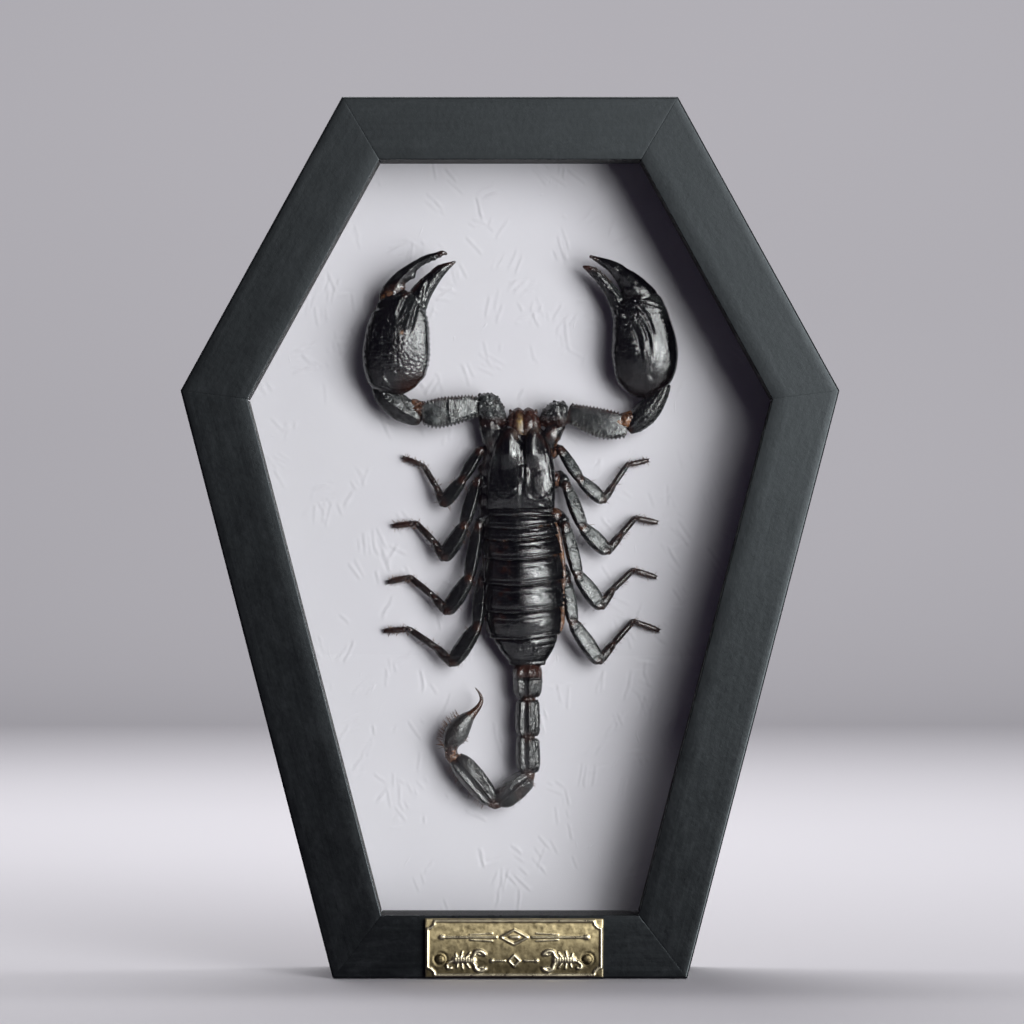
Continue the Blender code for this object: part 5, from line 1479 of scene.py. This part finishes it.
def nameplate():
    """The brass plate with its border, two small scorpions, a divider and two rivets."""
    middle = np.array(PLATE_CENTRE)
    half = np.array([PLATE_WIDTH, PLATE_HEIGHT]) / 2
    back = PLATE_FRONT - PLATE_THICKNESS
    levels = ((back, 0.1), (back + 0.1, 0.0), (PLATE_FRONT - 0.25, 0.0), (PLATE_FRONT - 0.05, 0.12),
              (PLATE_FRONT, 0.35))
    box = level_form(levels, lambda inset: [middle + (half - inset) * np.array(c) for c in
                                            ((-1, -1), (1, -1), (1, 1), (-1, 1))])
    p, quads = union([box], 0.19, 1)
    face = ramp(normals(p, quads)[:, 2], 0.4, 0.8)
    q = p[:, :2] - middle
    height = 0.04 * noise(p, 1.6, 3, 2) + 0.02 * noise(p, 0.5, 4)
    raised = np.zeros(len(p))
    mirrored = np.stack([-np.abs(q[:, 0]), q[:, 1]], axis=1)
    for line, width, rise in (*FIGURE_STROKES, *DIVIDER_STROKES):
        line = resample(line, 12) if len(line) > 3 else line
        stroke = np.exp(-((along(mirrored, line)[0] / width) ** 4))
        height = np.maximum(height, rise * stroke)
        raised = np.maximum(raised, stroke)
    body_line = FIGURE_STROKES[0][0]
    body = np.exp(-((along(mirrored, body_line)[0] / 0.9) ** 4))
    height -= 0.07 * body * (0.5 + 0.5 * np.cos(mirrored[:, 0] * 2 * np.pi / 0.62))
    border = np.exp(-((along(q, BORDER)[0] / 0.34) ** 4))
    height = np.maximum(height, 0.28 * border)
    outside = ramp(np.maximum(np.abs(q[:, 0]) - 20.9, np.abs(q[:, 1]) - 6.7), -0.1, 0.2)
    recess = 0.10 * hill(along(mirrored, body_line)[0], 2.6)
    rivet = np.hypot(np.abs(q[:, 0]) - RIVET_SPACING / 2, q[:, 1] + RIVET_DROP)
    recess = recess + 0.15 * hill(rivet - 1.5, 0.28)
    height = (height - recess * (1 - raised)) * face
    p = p + np.array([0.0, 0.0, 1.0]) * height[:, None]
    masks = {"raised": np.clip(np.maximum(raised, border) + 0.35 * outside, 0, 1) * face}
    add_piece("etched_nameplate", place(p), quads, MATERIALS["brass"], ["nameplate"], masks,
              share=PLATE_SHARE)
    for number, side in enumerate((-1, 1), start=1):
        centre = middle + np.array([side * RIVET_SPACING / 2, -RIVET_DROP])
        turn = np.arange(RIVET_SIDES) * 2 * np.pi / RIVET_SIDES
        levels = [(PLATE_FRONT + rise, share) for rise, share in RIVET_LEVELS]
        dome = level_form(levels, lambda share: [centre + RIVET_RADIUS * share * np.array(c)
                                                 for c in zip(np.cos(turn), np.sin(turn))])
        p, quads = union([dome], 0.10, 2)
        p = p + normals(p, quads) * (0.05 * noise(p, 0.7, 8 + number, 2))[:, None]
        add_piece(f"nameplate_rivet_head_{number}", place(p), quads, MATERIALS["brass"],
                  [f"nameplate_rivet_{number}"], {"raised": np.zeros(len(p))})


carapace()
abdomen()
jaws()
tail()
for side in ("left", "right"):
    for limb in (hand, femur, patella, trochanter):
        limb(side)
for name, plan in LEG_JOINTS.items():
    leg(name, plan)
coxae()
soft_skin()
hairs()
nameplate()


# Floor, light and camera

FLOOR_FRONT = -2.5  # metres, from here on
FLOOR_BACK = 1.3
FLOOR_BEND = 0.5
WALL_TOP = 2.6
FLOOR_HALF_WIDTH = 3.0
FLOOR_DROP = 0.0002  # below the box, so that the two don't touch
LIGHT_DISTANCE = 1.0
LIGHT_AIM_HEIGHT = 0.11
WORLD_COLOUR = (0.018, 0.0135, 0.0255, 1.0)
CAMERA_PLACE = (0.00048, -1.116, 0.11107)
CAMERA_SENSOR = 36.0
CAMERA_LENS = 162.4


def stage_material():
    made, tree, shader, where = start_material("pale_floor")
    shade = mix(tree, texture(tree, where, 300.0, 2.0), (0.66, 0.645, 0.685), (0.69, 0.675, 0.715))
    finish_material(tree, shader, [], Base_Color=shade, Roughness=0.8)
    return made


def stage():
    """A pale floor that curves up into a wall well behind the box."""
    path = [(FLOOR_FRONT, 0.0), (FLOOR_BACK, 0.0)]
    path += [(FLOOR_BACK + FLOOR_BEND * math.sin(a), FLOOR_BEND - FLOOR_BEND * math.cos(a))
             for a in np.linspace(0.1, math.pi / 2, 14)]
    path += [(FLOOR_BACK + FLOOR_BEND, WALL_TOP)]
    points = [(x, y, z - FLOOR_DROP) for y, z in path for x in (-FLOOR_HALF_WIDTH, FLOOR_HALF_WIDTH)]
    faces = [(2 * i, 2 * i + 1, 2 * i + 3, 2 * i + 2) for i in range(len(path) - 1)]
    mesh = bpy.data.meshes.new("floor")
    mesh.from_pydata(points, [], faces)
    mesh.shade_smooth()
    mesh.materials.append(stage_material())
    floor = bpy.data.objects.new("floor", mesh)
    bpy.context.scene.collection.objects.link(floor)
    floor.visible_shadow = False
    floor.visible_diffuse = False
    floor.visible_glossy = False


def area_light(name, width, height, energy):
    """A rectangular light of a size in metres and an energy in watts, still at the origin."""
    light = bpy.data.lights.new(name, "AREA")
    light.shape = "RECTANGLE"
    light.size, light.size_y = width, height
    light.energy = energy
    lamp = bpy.data.objects.new(name, light)
    bpy.context.scene.collection.objects.link(lamp)
    return lamp


def softbox(name, direction, roll, width, height, radiance):
    """A light aimed at the middle of the box from an azimuth and elevation in degrees."""
    azimuth, elevation = map(math.radians, direction)
    lamp = area_light(name, width, height, radiance * math.pi * width * height)
    flat = LIGHT_DISTANCE * math.cos(elevation)
    lamp.location = (flat * math.sin(azimuth), -flat * math.cos(azimuth),
                     LIGHT_AIM_HEIGHT + LIGHT_DISTANCE * math.sin(elevation))
    aim = Matrix.Rotation(azimuth, 3, "Z") @ Matrix.Rotation(math.pi / 2 - elevation, 3, "X")
    lamp.rotation_euler = (aim @ Matrix.Rotation(math.radians(roll), 3, "Z")).to_euler()


stage()
softbox("key", (38.5, 2.5), 33.0, 0.63, 1.15, 6.1)
softbox("core_key", (30.0, 5.0), 33.0, 0.14, 0.26, 11.0)
softbox("back_light", (200.0, 55.0), 0.0, 0.80, 0.80, 2.6)
wall_light = area_light("wall_light", 1.6, 0.4, 16.0)
wall_light.location = (0.0, 0.2, 1.1)
wall_light.rotation_euler = (math.radians(60.0), 0.0, 0.0)
world = bpy.data.worlds.new("studio")
world.use_nodes = True
world.node_tree.nodes["Background"].inputs["Color"].default_value = WORLD_COLOUR
bpy.context.scene.world = world
bpy.context.scene.view_settings.view_transform = "Standard"

camera = bpy.data.objects.new("camera", bpy.data.cameras.new("camera"))
camera.location = CAMERA_PLACE
camera.rotation_euler = (math.pi / 2, 0.0, 0.0)
camera.data.sensor_width = CAMERA_SENSOR
camera.data.lens = CAMERA_LENS
bpy.context.scene.collection.objects.link(camera)
bpy.context.scene.camera = camera
